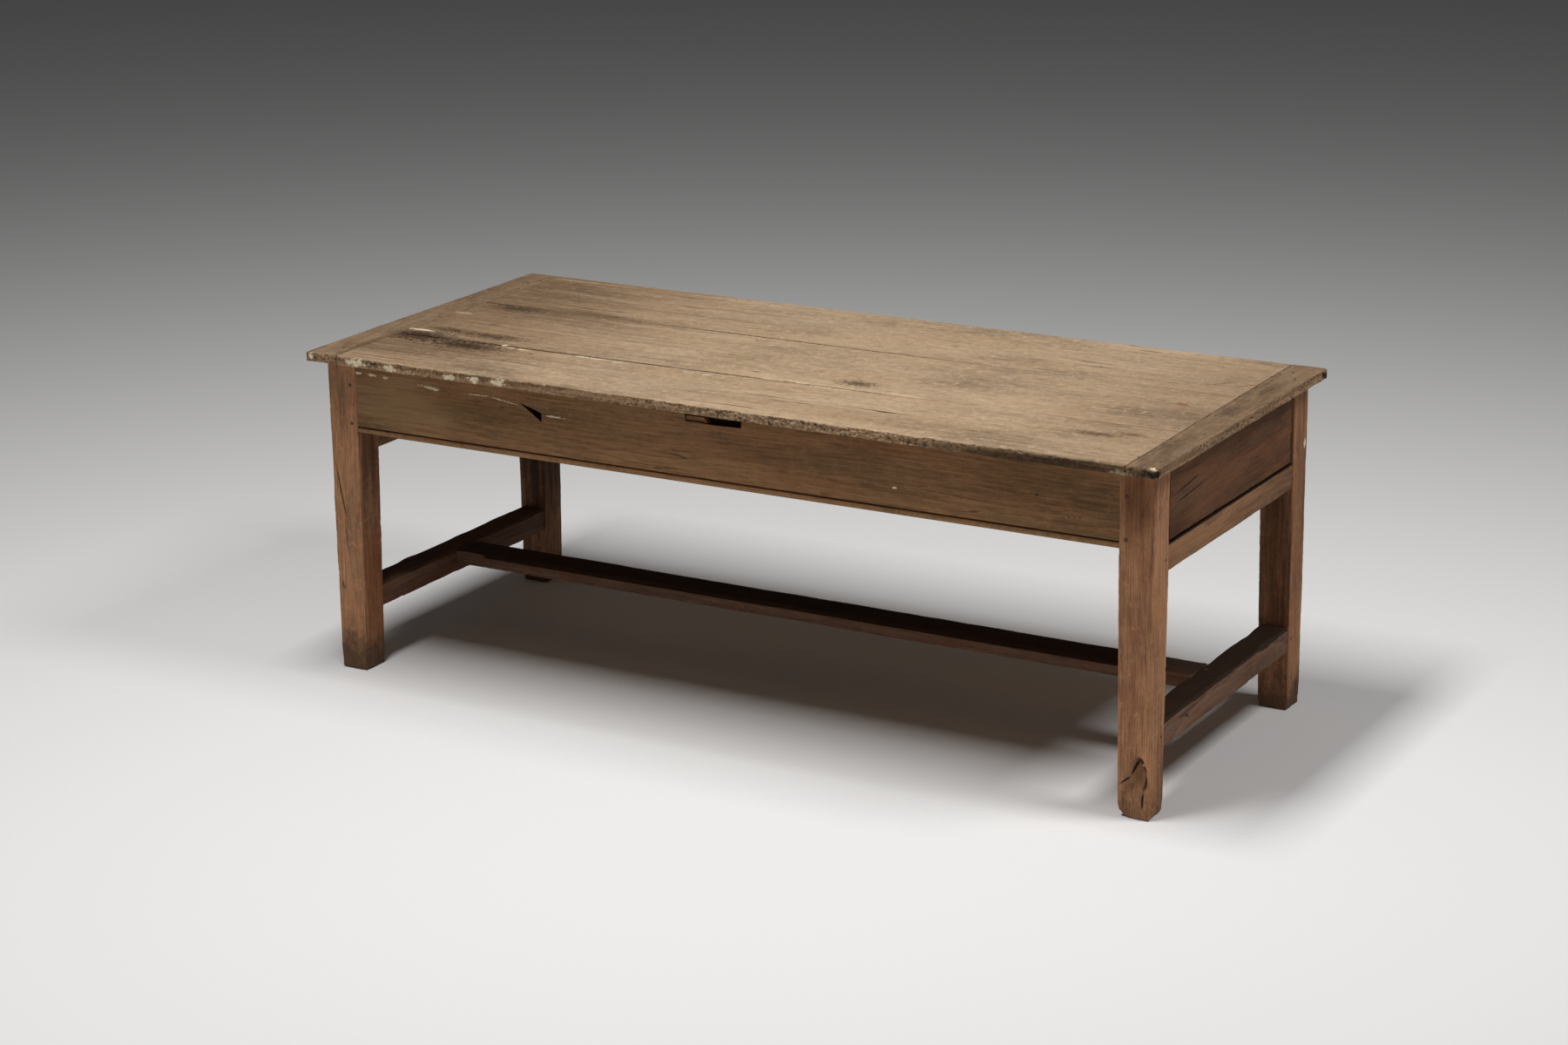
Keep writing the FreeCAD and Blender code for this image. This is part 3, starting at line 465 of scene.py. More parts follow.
class Timberwork(Finish):
    """Oak: rings, streaks, fibres, pores and drying cracks along one grain direction.

    The shares say how much rings (figure), streaks, fibres (fine), clouds, accents (patch) and dry, mottled
    wood show. The weave counts fibres along and across a metre.
    """

    def __init__(self, name, grain, log, colour, accents, cloud, dry, patch=0.4, figure=0.5, streak=0.9,
                 fine=2.0, weave=(9.0, 230.0)):
        super().__init__(name)
        self.tones = three_tones(colour)
        along = self.moved(self.place, shift=log, turn=GRAIN_TURN[grain])
        wander = self.noise(along, (1.6, 5.0), detail=2.0, part=1)
        sway = self.vector("SUBTRACT", wander, (0.5, 0.5, 0.5))
        self.grain = self.vector("ADD", along, self.vector("MULTIPLY", sway, (0.0, 0.022, 0.022)))
        self.rings = self.wave(self.grain, RING_WIDTH, distortion=0.8, detail_scale=2.5, wave_type="RINGS",
                               rings_direction="X", wave_profile="SAW")
        self.streaks = self.noise(self.grain, (3.2, 84.0), detail=5.0, roughness=0.62)
        self.fibres = self.noise(self.grain, weave, detail=4.0, roughness=0.8)
        pores = self.noise(self.grain, (2.4 * weave[0], 1.7 * weave[1]), detail=2.0, roughness=0.65)
        self.pores = self.between(pores, 0.58, 0.68)
        self.clouds = self.noise(along, (2.6, 8.0), detail=4.0, roughness=0.62)
        split = self.noise(self.grain, (1.1, 42.0), detail=2.0, roughness=0.35)
        line = self.between(self.math("ABSOLUTE", self.math("SUBTRACT", split, 0.5)), 0.007, 0.002)
        self.cracks = self.product(line, self.between(self.clouds, 0.50, 0.62))
        total = self.product(self.rings, figure)
        for value, share in ((self.streaks, streak), (self.fibres, fine), (self.clouds, cloud)):
            total = self.add(value, share, total)
        level = self.math("ADD", total, 0.5 - 0.5 * (figure + streak + fine + cloud))
        self.colour = self.ramp(level, (0.10, 0.5, 0.90), self.tones)
        drift = self.noise(along, (3.6, 15.0), detail=4.0, roughness=0.65, shift=(5.2, 1.3, 7.7))
        for accent, ends in zip(accents, ((0.50, 0.68), (0.50, 0.32))):
            self.stain(accent, self.between(drift, *ends), patch)
        self.stain(self.tones[0], self.pores, 0.6)
        mottle = self.noise(self.place, (52.0, 52.0), detail=7.0, roughness=0.8, shift=log)
        self.stain(self.tones[2], self.between(mottle, 0.52, 0.66), dry)
        self.stain(self.tones[0], self.between(mottle, 0.48, 0.34), 0.6 * dry)

    def stain(self, colour, *shares, mode="MIX"):
        """Lays a colour on the wood where all the shares are above 0."""
        self.colour = self.blend(self.product(*shares), self.colour, colour, mode)

    def frayed(self, value, share):
        """A value with a share of crumbs added or taken away."""
        return self.add(self.math("SUBTRACT", self.rag, 0.5), share, value)

    def upward(self):
        """High on faces that look up, low on faces that look sideways or down, with a frayed rim."""
        facing = self.node("ShaderNodeNewGeometry").outputs["Normal"]
        up = self.node("ShaderNodeSeparateXYZ", {0: facing}).outputs["Z"]
        return self.frayed(up, 0.5)

    def spot(self, mark):
        """The mark's strength at its place, falling to 0 at its reach with a frayed rim."""
        near = self.moved(self.place, mark.place, mark.turn, mark.reach, way="TEXTURE")
        distance = self.node("ShaderNodeVectorMath", {0: near}, operation="LENGTH").outputs["Value"]
        layer, share, full = FRAYS[mark.fray]
        frayed = self.add(getattr(self, layer), share, distance)
        return self.product(self.between(frayed, 1.0 + share / 2, full + share / 2), mark.strength)

    def rub(self, low, high, share):
        """Shows paler wood on the worn edges."""
        self.stain(self.tones[2], self.layer("edge"), self.between(self.rag, low, high), share)

    def finish(self, marks, finish, specular):
        """Adds cracks, dust and marks, and closes the material."""
        self.stain(finish.grime, self.cracks, 0.8)
        self.stain(finish.dust, self.between(self.frayed(self.layer("soil"), 1.2), 0.05, 1.0), 0.8)
        for mark in marks:
            self.stain(mark.colour, self.spot(mark), mode=mark.mode)
        height = self.streaks
        layers = ((self.fibres, 0.5), (self.rings, 0.25), (self.pores, -0.5), (self.cracks, -1.2))
        for layer, share in layers:
            height = self.add(layer, share, height)
        roughness = self.add(self.streaks, 0.25, 0.62)
        return self.close(self.colour, roughness, height, specular=specular)


def lay_board(wear, node, open_sides, seams, grain, material):
    """A board of the top, worn where it is open and lightly eased where it meets another."""
    seed = wear.seed + len(node) * 7 + sum(map(ord, node))
    corners = plan_corners(node)
    sides = np.linalg.norm(corners - np.roll(corners, -1, axis=0), axis=1)
    length, width = (sides[0] + sides[2]) / 2, (sides[1] + sides[3]) / 2
    low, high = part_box(node)
    # Points stand closer along an edge that shows
    along = 0.0032 if "front" in open_sides else 0.006
    steps, waves = (along, 0.007, 0.002), (0.35, 0.05, 0.2)
    if grain == "Y":
        steps, waves = (0.007, along, 0.002), (0.05, 0.35, 0.2)
    board = Timber((0.0, 0.0, low.z), (length, width, high.z), steps)
    open_edge = np.max([np.zeros(len(board.points)), *(board.near(side, EDGE_REACH) for side in open_sides)],
                       axis=0)
    closed = smooth(board.points[:, 0] / length, *CLOSING) * (grain == "X")
    radius = board.knocks(wear.joint_arris, 0.7 * wear.nick, seed) * (1 - 0.85 * closed)
    radius += open_edge * (board.knocks(wear.top_arris, wear.nick, seed + 5) - radius)
    drawn = np.zeros(len(board.points))
    for side, strength in seams.items():
        board.seam = np.maximum(board.seam, strength * (1 - 0.7 * closed) * board.near(side, SEAM_REACH))
        axis, sign = SIDES[side]
        drawn += sign * closed * board.near(side, DRAWN_REACH) * (axis == 1)
    board.ease(radius)
    board.points[:, 1] += wear.joint_gap / 2 * drawn
    pits = bumps(board.points, (0.005, 0.005, 0.004), seed + 9, -0.25)
    pits += 0.6 * bumps(board.points, (0.03, 0.03, 0.012), seed + 10)
    board.sink(wear.pit * pits * open_edge * board.upright())
    board.ripples(wear.ripple, waves, seed + 12)
    for end, way in itertools.product(ENDS, (-1, 1)):
        if end in open_sides:
            round_corner(board, SIDES[end][1], way, wear.corner)
    s, t = np.split(board.points[:, :2] / (length, width), 2, axis=1)
    front = corners[0] * (1 - s) + corners[1] * s
    rear = corners[3] * (1 - s) + corners[2] * s
    board.points[:, :2] = front * (1 - t) + rear * t
    dress(node, board, material)


def round_corner(board, end, way, radius):
    """Rounds one corner of a board seen from above."""
    sign = np.array((end, way))
    corner = np.where(sign > 0, board.high[:2], board.low[:2])
    centre = corner - sign * radius
    offset = (board.points[:, :2] - centre) * sign
    inside = (offset > 1e-9).all(axis=1)
    reach = offset[inside]
    scale = reach.max(axis=1) / np.linalg.norm(reach, axis=1)
    board.points[inside, :2] = centre + reach * scale[:, None] * sign


def top_material(name, grain, log, colour, finish, marks):
    """Scrubbed pale oak above, dark worm-eaten wood on the edges and below, and dirt in the seams."""
    accents = (tone(162, 144, 122), tone(172, 140, 106))
    wood = Timberwork(name, grain, log, colour, accents, cloud=1.7, dry=0.8, figure=0.25, streak=0.35,
                      fine=1.4, weave=(24.0, 210.0))
    slanted = wood.moved(wood.place, turn=(0.0, 0.0, 0.18))
    sawn = wood.wave(slanted, finish.saw_marks, distortion=2.0, detail_scale=0.6, wave_type="BANDS",
                     bands_direction="X")
    wood.stain(wood.tones[0], wood.between(sawn, 0.45, 0.95), wood.between(wood.clouds, 0.44, 0.62), 0.28)
    wood.rub(0.40, 0.60, share=0.3)
    dirty = wood.frayed(wood.layer("seam"), 0.9)
    kept = wood.add(wood.between(wood.clouds, 0.36, 0.56), 0.6, 0.3)
    wood.stain(finish.grime, wood.between(dirty, 0.35, 0.95), kept)
    holes = wood.noise(wood.place, (150.0, 150.0, 210.0), detail=2.0)
    eaten = wood.product(wood.between(holes, 0.58, 0.66), wood.between(wood.clouds, 0.34, 0.56), 0.85)
    crumbs = wood.product(wood.between(holes, 0.44, 0.36), wood.between(wood.clouds, 0.42, 0.60), 0.4)
    tones = three_tones(finish.edge, 0.42, 1.45)
    edge = wood.ramp(wood.frayed(wood.streaks, 1.0), (0.25, 0.52, 0.78), tones)
    edge = wood.blend(crumbs, edge, finish.cream)
    edge = wood.blend(eaten, edge, finish.grime)
    wood.stain(edge, wood.between(wood.upward(), 0.55, 0.30))
    return wood.finish(marks, finish, specular=0.18)


def top_marks(finish, node):
    """Smudges, scrapes, filler and stains on one board of the top and along its front edge."""
    level = CAD_BOX[1].z
    front = CAD_BOX[0].y
    # Place, half lengths and strength
    dim = [((-1.10, 0.10), (0.95, 0.95), 0.3 if node.startswith("breadboard") else 0.85),
           ((-0.80, -0.33), (0.34, 0.14), 0.4), ((0.30, -0.36), (0.60, 0.06), 0.4),
           ((1.02, 0.00), (0.55, 0.90), 0.4)]
    smudges = [((-0.890, -0.205), (0.140, 0.066), 1.0), ((-0.735, -0.232), (0.150, 0.056), 1.0),
               ((-0.735, -0.140), (0.120, 0.034), 0.85), ((-0.855, -0.132), (0.090, 0.028), 0.75),
               ((-0.845, 0.110), (0.110, 0.040), 0.8), ((-0.640, 0.150), (0.160, 0.022), 0.5),
               ((0.196, -0.132), (0.070, 0.032), 0.9), ((0.812, -0.262), (0.080, 0.020), 0.75),
               ((0.872, -0.236), (0.045, 0.020), 0.65), ((0.975, 0.020), (0.030, 0.060), 0.5),
               ((0.985, 0.220), (0.025, 0.090), 0.45), ((0.985, -0.290), (0.025, 0.090), 0.4)]
    scrapes = [((-0.912, -0.158), (0.042, 0.010), 0.7), ((-0.930, 0.02), (0.030, 0.012), 0.2)]
    smudged = 0.5 if node == "breadboard_end_left" else 1.0
    marks = [shade(finish.shade, (*place, level), (*reach, 0.025), strength)
             for place, reach, strength in dim]
    marks += [shade(finish.smudges_and_painted_shade, (*place, level), (*reach, 0.03), smudged * strength, "blot")
              for place, reach, strength in smudges]
    rust = tone(118, 66, 48)
    marks.append(Mark(rust, (0.868, 0.027, level), (0.020, 0.013, 0.02), 0.65, fray="crumb"))
    for x, y, half, strength in ((0.874, 0.219, 0.034, 0.5), (0.925, 0.225, 0.030, 0.4)):
        marks.append(Mark(rust, (x, y, level), (half, 0.007, 0.02), strength, (0.0, 0.0, 0.9), "line"))
    marks += [Mark(finish.cream, (*place, level), (*reach, 0.02), strength)
              for place, reach, strength in scrapes]
    # Place along the front joint, half length, distance from the joint and strength
    ridges = [(-0.663, 0.010, 0.004, 0.8), (-0.640, 0.014, -0.006, 0.5), (-0.605, 0.018, -0.009, 0.45),
              (-0.455, 0.022, -0.003, 0.5), (-0.415, 0.026, -0.008, 0.5), (-0.360, 0.018, -0.012, 0.3),
              (-0.170, 0.022, -0.020, 0.3), (-0.125, 0.018, -0.022, 0.3), (0.010, 0.045, 0.006, 0.25),
              (0.090, 0.030, 0.005, 0.35), (0.140, 0.030, -0.004, 0.4), (0.190, 0.040, -0.006, 0.3),
              (0.330, 0.060, 0.010, 0.25)]
    _, _, joint_right, joint_left = plan_corners("top_board_front")
    for x, half, offset, strength in ridges:
        y = float(np.interp(x, (joint_left[0], joint_right[0]), (joint_left[1], joint_right[1]))) + offset
        marks.append(Mark(finish.cream, (x, y, level), (half, 0.007, 0.02), strength, fray="crumb"))
    # Place, half length and height in the front edge
    filler = [(-0.888, 0.036, 0.736), (-0.796, 0.022, 0.733), (-0.637, 0.020, 0.732), (-0.574, 0.017, 0.734),
              (-0.512, 0.024, 0.735), (0.945, 0.030, 0.727), (1.013, 0.010, 0.745), (-1.011, 0.007, 0.737)]
    marks += [Mark(finish.cream, (x, front, z), (half, 0.010, 0.009), 0.95, fray="crumb")
              for x, half, z in filler]
    marks += [shade(finish.smudges_and_painted_shade, (0.80, front, 0.728), (0.40, 0.012, 0.022), 1.0),
              Mark(finish.grime, (1.016, front, 0.733), (0.022, 0.014, 0.009), 0.95, fray="crumb"),
              Mark(finish.grime, (1.022, 0.430, 0.734), (0.014, 0.030, 0.011), 0.95, fray="crumb")]
    low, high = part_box(node)
    return [mark for mark in marks if touches(mark, low, high)]


def touches(mark, low, high):
    """Whether a mark reaches into a box seen from above."""
    return all(low[axis] - mark.reach[axis] < mark.place[axis] < high[axis] + mark.reach[axis]
               for axis in (0, 1))


class KITCHEN_TABLE_OT_top_boards(bpy.types.Operator):
    """Lay the three long boards of the top"""
    bl_idname = "kitchen_table.top_boards"
    bl_label = "Top boards"

    def execute(self, context):
        wear, finish = settings(context)
        ends = {"left": 0.6, "right": 0.6}
        seams = {"top_board_front": {"rear": 1.0}, "top_board_middle": {"front": 1.0, "rear": 0.85},
                 "top_board_rear": {"front": 0.85}}
        for row, (node, joints) in enumerate(seams.items()):
            log = (0.7 * row, 0.21 * row, -0.64 - 0.03 * row)
            sides = [side for side in ("front", "rear") if side not in joints]
            marks = top_marks(finish, node)
            material = top_material(node + "_oak", "X", log, finish.top, finish, marks)
            lay_board(wear, node, sides, {**ends, **joints}, "X", material)
        return {"FINISHED"}


class KITCHEN_TABLE_OT_breadboard_ends(bpy.types.Operator):
    """Fit the two cross-grained end boards of the top"""
    bl_idname = "kitchen_table.breadboard_ends"
    bl_label = "Breadboard ends"

    def execute(self, context):
        wear, finish = settings(context)
        for row, (end, inner) in enumerate(zip(ENDS, reversed(ENDS))):
            node = "breadboard_end_" + end
            log = (0.3 * row, 0.9, -0.6)
            marks = top_marks(finish, node)
            material = top_material(node + "_oak", "Y", log, finish.breadboard, finish, marks)
            lay_board(wear, node, [end, "front", "rear"], {inner: 0.6}, "Y", material)
        return {"FINISHED"}


def frame_material(name, grain, log, colour, finish, accents, marks=(), top_face_shade=0.0, **shares):
    """Brown oak of the frame, paler on worn edges, black in its cracks and darkened with painted shade where
    it looks up.
    """
    shares = {"cloud": 1.5, "patch": 0.6, "dry": 0.45, **shares}
    wood = Timberwork(name, grain, log, colour, accents, **shares)
    wood.rub(0.42, 0.62, share=0.7)
    # Faces that look up are darkened towards the grime colour as painted shade
    if top_face_shade:
        wood.stain(finish.grime, wood.between(wood.upward(), 0.30, 0.75), top_face_shade)
    return wood.finish(marks, finish, specular=0.16)


class KITCHEN_TABLE_OT_legs(bpy.types.Operator):
    """Stand the four tapered legs"""
    bl_idname = "kitchen_table.legs"
    bl_label = "Legs"

    hollow_x: amount("Hollow place", "Middle of the broken-out hollow in the front right foot", 0.970)
    hollow_top: amount("Hollow top", "Height of the tip of the hollow", 0.138)
    hollow_height: amount("Hollow height", "Height of the hollow", 0.085, 0.01, 0.2)
    hollow_width: amount("Hollow width", "Half the width of the hollow", 0.023, 0.005, 0.035)
    hollow_depth: amount("Hollow depth", "Depth of the hollow", 0.016, 0.0, 0.03)
    blunt: amount("Blunt corner", "Radius worn on the left corner of the broken foot", 0.016, 0.0, 0.03)
    torn: amount("Torn foot", "Depth of the wood torn off the feet", 0.003, 0.0, 0.01)

    # Heights below which a foot is worn, torn and dirty
    WORN_BELOW, TORN_BELOW, DIRTY_BELOW = 0.05, 0.060, 0.13
    BLUNT_REACH = 0.03

    def execute(self, context):
        wear, finish = settings(context)
        olive = (tone(122, 102, 76), tone(158, 114, 76))
        red = (tone(128, 80, 56), tone(176, 124, 80))
        looks = {"front_left": (olive, self.left_marks), "front_right": (red, self.right_marks),
                 "rear_left": (olive, self.rear_marks), "rear_right": (red, self.rear_marks)}
        for row, (corner, (accents, marks)) in enumerate(looks.items()):
            node = "leg_" + corner
            leg = self.worn_leg(node, wear, wear.seed + 40 * row)
            log = (0.4 * row, 0.03, 0.05)
            material = frame_material(node + "_oak", "Z", log, finish.leg, finish, accents,
                                      marks(finish, node), figure=0.35, streak=0.7, cloud=2.0, dry=0.7)
            dress(node, leg, material)
        return {"FINISHED"}

    def worn_leg(self, node, wear, seed):
        """A leg with worn arrises, a torn and dirty foot, and its taper."""
        leg = Timber(*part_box(node), (0.004, 0.006, 0.004))
        height = leg.points[:, 2]
        broken = float(node == "leg_front_right")
        worn = 1 + 0.4 * smooth(height, self.WORN_BELOW, 0.0)
        blunt = broken * self.blunt * leg.near("left", self.BLUNT_REACH) * leg.near("foot", self.BLUNT_REACH)
        leg.ease(worn * leg.knocks(wear.frame_arris, wear.nick, seed) + blunt)
        leg.ripples(1.6 * wear.ripple, (0.05, 0.05, 0.16), seed + 3)
        ragged = bumps(leg.points, (0.014, 0.014, 0.03), seed + 6, 0.2)
        leg.sink(self.torn * ragged * leg.upright() * smooth(height, self.TORN_BELOW, 0.0))
        dirt_line = height + 0.03 * rough(leg.points, (0.02, 0.02, 0.04), seed + 8)
        leg.soil = smooth(dirt_line, self.DIRTY_BELOW, 0.0) * (1 - 0.5 * broken)
        foot = solid_points(node)
        foot = foot[foot[:, 2] < SAME, :2]
        share = (leg.points[:, :2] - leg.low[:2]) / (leg.high - leg.low)[:2]
        tapered = foot.min(0) + share * np.ptp(foot, axis=0)
        lean = np.clip(1 - leg.points[:, 2:] / wear.taper_top, 0, 1)
        leg.points[:, :2] = leg.points[:, :2] * (1 - lean) + tapered * lean
        if broken:
            self.split_foot(leg, seed)
        return leg

    def split_foot(self, leg, seed):
        """The broken-out hollow low in the front face, deepest on its right, and the torn wood below it."""
        x, _, z = leg.points.T
        fall = (self.hollow_top - z) / self.hollow_height
        jag = 0.004 * rough(leg.points, (0.05, 0.05, 0.012), seed + 30)
        width = self.hollow_width * np.clip(1.8 * fall, 0.05, 1)
        across = (x + jag - self.hollow_x + width) / (2 * width)
        bowl = smooth(across, 0.0, 0.85) * smooth(across, 1.12, 0.92)
        bowl *= smooth(fall, 0.0, 0.12) * smooth(fall, 1.0, 0.6)
        ragged = smooth(fall, 0.3, 0.8) * bumps(leg.points, (0.007, 0.05, 0.035), seed + 31, 0.4)
        depth = self.hollow_depth * bowl * (1 + 0.4 * rough(leg.points, (0.005, 0.02, 0.03), seed + 32))
        leg.points[:, 1] += (depth + self.torn * ragged * smooth(z, 0.0, 0.012)) * leg.facing("front")

    def left_marks(self, finish, node):
        """Two slanting cracks, painted shade on the inner face under the top, and the rusty part of the
        inner face.
        """
        low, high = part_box(node)
        middle = (low.y + high.y) / 2
        rust = tone(142, 80, 50)
        # Place across and up the face, half width, half height, strength and turn
        cracks = [(-0.979, 0.418, 0.0030, 0.085, 0.8, -0.18), (-0.968, 0.300, 0.0024, 0.060, 0.5, -0.10)]
        marks = [Mark(finish.grime, (x, low.y, z), (half, 0.012, rise), strength, (0.0, turn, 0.0), "line")
                 for x, z, half, rise, strength, turn in cracks]
        # The first mark here is painted shade on the inner face, which lies under the top
        return marks + [shade(finish.smudges_and_painted_shade, (high.x, middle, 0.560), (0.008, 0.060, 0.260), 0.75),
                        Mark(rust, (high.x - 0.004, middle, 0.200), (0.009, 0.060, 0.190), 0.45)]

    def rear_marks(self, finish, node):
        """Painted shade on the front face and on the right-hand face of a rear leg, and the chip in the
        right one.
        """
        low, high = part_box(node)
        # Both marks are painted shade on faces that lie under the top
        front = shade(finish.smudges_and_painted_shade, ((low.x + high.x) / 2, low.y, 0.40), (0.08, 0.010, 0.50), 0.85)
        end = shade(finish.shade, (high.x, (low.y + high.y) / 2, 0.40), (0.010, 0.08, 0.50), 0.5)
        if node == "leg_rear_left":
            # The rear left leg gets a deeper painted shade
            deepest_painted_shade = tuple(0.6 * part for part in finish.smudges_and_painted_shade)
            return [mark._replace(colour=deepest_painted_shade, strength=1.0) for mark in (front, end)]
        chip = Mark(finish.cream, (high.x, high.y - 0.014, 0.591), (0.012, 0.008, 0.012), 0.9, fray="crumb")
        return [front, end, chip]

    def right_marks(self, finish, node):
        """Painted shade on the head under the top's overhang, and raw wood and black splits in the broken
        foot.
        """
        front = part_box(node)[0].y
        middle = self.hollow_top - self.hollow_height / 2
        raw = tone(146, 108, 76)
        # The first mark is painted shade under the top's overhang
        marks = [shade(finish.shade, (0.962, front, 0.680), (0.060, 0.020, 0.190), 0.9),
                 Mark(raw, (self.hollow_x - 0.004, front, middle), (0.022, 0.05, 0.040), 0.7, fray="crumb")]
        # Points of the splits across and up the face, with the width of the split down to the next point
        right_split = [(0.976, 0.133, 0.0060), (0.988, 0.119, 0.0060), (0.992, 0.094, 0.0060),
                       (0.986, 0.062, 0.0034), (0.984, 0.026, 0.0)]
        left_split = [(0.976, 0.133, 0.0034), (0.960, 0.090, 0.0030), (0.937, 0.071, 0.0)]
        for split in (right_split, left_split):
            for (x, z, width), (next_x, next_z, _) in zip(split, split[1:]):
                across, rise = x - next_x, z - next_z
                place = ((x + next_x) / 2, front, (z + next_z) / 2)
                reach = (width, 0.06, 0.65 * math.hypot(across, rise))
                turn = (0.0, math.atan2(across, rise), 0.0)
                marks.append(Mark(finish.grime, place, reach, 0.95, turn, "line"))
        return marks


def cut_out(piece, cutter):
    """Takes the shape of the cutter out of a piece."""
    knife = piece.modifiers.new("cut", "BOOLEAN")
    knife.operation = "DIFFERENCE"
    knife.solver = "EXACT"
    knife.material_mode = "TRANSFER"
    knife.object = cutter
    piece.data = plain_mesh(piece)
    bpy.data.objects.remove(cutter)


class KITCHEN_TABLE_OT_aprons(bpy.types.Operator):
    """Hang the beaded front and rear aprons, the notch and its patch"""
    bl_idname = "kitchen_table.aprons"
    bl_label = "Aprons"

    bead: amount("Bead", "Radius of the bead along the lower edge", 0.006, 0.001, 0.01)
    quirk: amount("Quirk", "Width of the groove above the bead", 0.003, 0.001, 0.006)
    notch_end: amount("Notch end", "Place of the right end of the notch", 0.067)

    def execute(self, context):
        wear, finish = settings(context)
        accents = (tone(108, 92, 62), tone(152, 100, 62))
        for row, face in enumerate(("front", "rear")):
            node = "apron_" + face
            seed = wear.seed + 300 + 31 * row
            marks = self.marks(finish) if face == "front" else ()
            log = (0.3, 0.08 + 0.1 * row, -0.5)
            material = frame_material(node + "_oak", "X", log, finish.apron, finish, accents, marks,
                                      figure=0.25, streak=0.4, fine=1.8, patch=0.3, weave=(14.0, 260.0))
            name = node + "_worn"
            piece = stand(name, self.beaded(node, face, wear, seed).mesh(name), material)
            if face == "front":
                self.break_out(piece, finish, seed)
            settle(piece, "frame", node)
        self.patch(wear, finish, wear.seed + 380)
        return {"FINISHED"}

    def beaded(self, node, face, wear, seed):
        """An apron with a bead and a quirk along the lower edge of its outer face."""
        low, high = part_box(node)
        left, right = between_legs(0, tuck=0.003)
        board = hewn((left, low.y, low.z), (right, high.y, high.z), (0.006, 0.007, 0.006), wear.apron_arris,
                     0.5 * wear.nick, wear.ripple, (0.25, 0.1, 0.04), seed, fine=0.0009, border=0.018)
        rise = board.points[:, 2] - low.z
        bead = self.bead - np.sqrt(np.clip(self.bead ** 2 - (rise - self.bead) ** 2, 0, None))
        groove = self.bead * smooth(np.abs(rise - 2 * self.bead - self.quirk / 2), self.quirk / 2, 0)
        depth = np.where(rise < 2 * self.bead, bead, groove)
        inner, outer, inward = (high.y, low.y, 1) if face == "front" else (low.y, high.y, -1)
        share = (inner - board.points[:, 1]) / (inner - outer)
        board.points[:, 1] += depth * share * inward
        # Dust colour darkens the quirk as dirt and as painted shade in the groove, and the bead is paler as
        # rubbed wear and as a painted highlight
        board.soil = np.clip(depth / self.bead, 0, 1) * share * smooth(rise, 0.010, 0.0125) * 0.8
        board.edge = np.maximum(board.edge, smooth(rise, 0.0125, 0.009) * share)
        return board

    def patch(self, wear, finish, seed):
        """The strip let into the left part of the notch, cut off at a slant."""
        node = "apron_patch"
        points = solid_points(node)
        low, high = points.min(0), points.max(0)
        strip = Timber(low, high, (0.004, 0.004, 0.003), fine=0.0009, border=0.003)
        strip.ease(strip.knocks(wear.joint_arris, 0.35 * wear.nick, seed, size=0.02))
        strip.ripples(wear.ripple * 2 / 3, (0.03, 0.03, 0.006), seed + 3)
        ends = [points[np.abs(points[:, 2] - level) < SAME, 0].max() for level in (low[2], high[2])]
        reach = np.interp(strip.points[:, 2], (low[2], high[2]), ends) - low[0]
        strip.points[:, 0] = low[0] + (strip.points[:, 0] - low[0]) * reach / (high[0] - low[0])
        accents = (tone(122, 98, 76), tone(150, 108, 74))
        material = frame_material(node + "_oak", "X", (0.9, 0.2, 0.1), finish.rail, finish, accents)
        dress(node, strip, material)

    def marks(self, finish):
        """Scrapes, pale flecks, darker olive patches, a painted shadow under the top's overhang and nail
        holes in the face of the front apron.
        """
        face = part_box("apron_front")[0].y
        # Place along and up the face, half length, half height and turn
        scrapes = [(-0.915, 0.699, 0.010, 0.0018, 0.0), (-0.880, 0.698, 0.012, 0.0022, 0.0),
                   (-0.842, 0.696, 0.008, 0.0018, 0.0), (-0.720, 0.6875, 0.030, 0.0022, 0.10),
                   (-0.600, 0.687, 0.030, 0.0008, 0.0), (-0.534, 0.683, 0.044, 0.0007, 0.14),
                   (-0.397, 0.6625, 0.032, 0.0012, 0.02), (0.427, 0.617, 0.006, 0.0014, 0.0)]
        marks = [Mark(finish.cream, (x, face, z), (half, 0.01, 1.8 * rise), 0.95, (0.0, turn, 0.0), "crumb")
                 for x, z, half, rise, turn in scrapes]
        marks.append(Mark(tone(164, 134, 96), (-0.800, face, 0.640), (0.190, 0.012, 0.070), 0.45))
        # Place along and up the face, half length, half height and strength; the long band at the upper edge
        # is painted shadow of the top's overhang
        patches_and_overhang_shade = [(-0.600, 0.655, 0.170, 0.050, 0.5), (0.100, 0.722, 0.900, 0.030, 0.5),
                (0.740, 0.690, 0.200, 0.040, 0.4)]
        olive = (0.50, 0.53, 0.42)
        marks += [shade(olive, (x, face, z), (half, 0.012, rise), strength)
                  for x, z, half, rise, strength in patches_and_overhang_shade]
        # Place along and up the face, and radius
        dots = [(0.803, 0.608, 0.0020), (0.815, 0.609, 0.0022), (0.828, 0.610, 0.0020),
                (0.840, 0.611, 0.0022), (0.745, 0.646, 0.0034)]
        marks += [Mark(finish.grime, (x, face, z), (radius, 0.01, radius), 0.9, fray="line")
                  for x, z, radius in dots]
        return marks

    def break_out(self, piece, finish, seed):
        """The notch in the upper edge and the splintered hole to the left of it, their cut faces painted
        near-black as shade.
        """
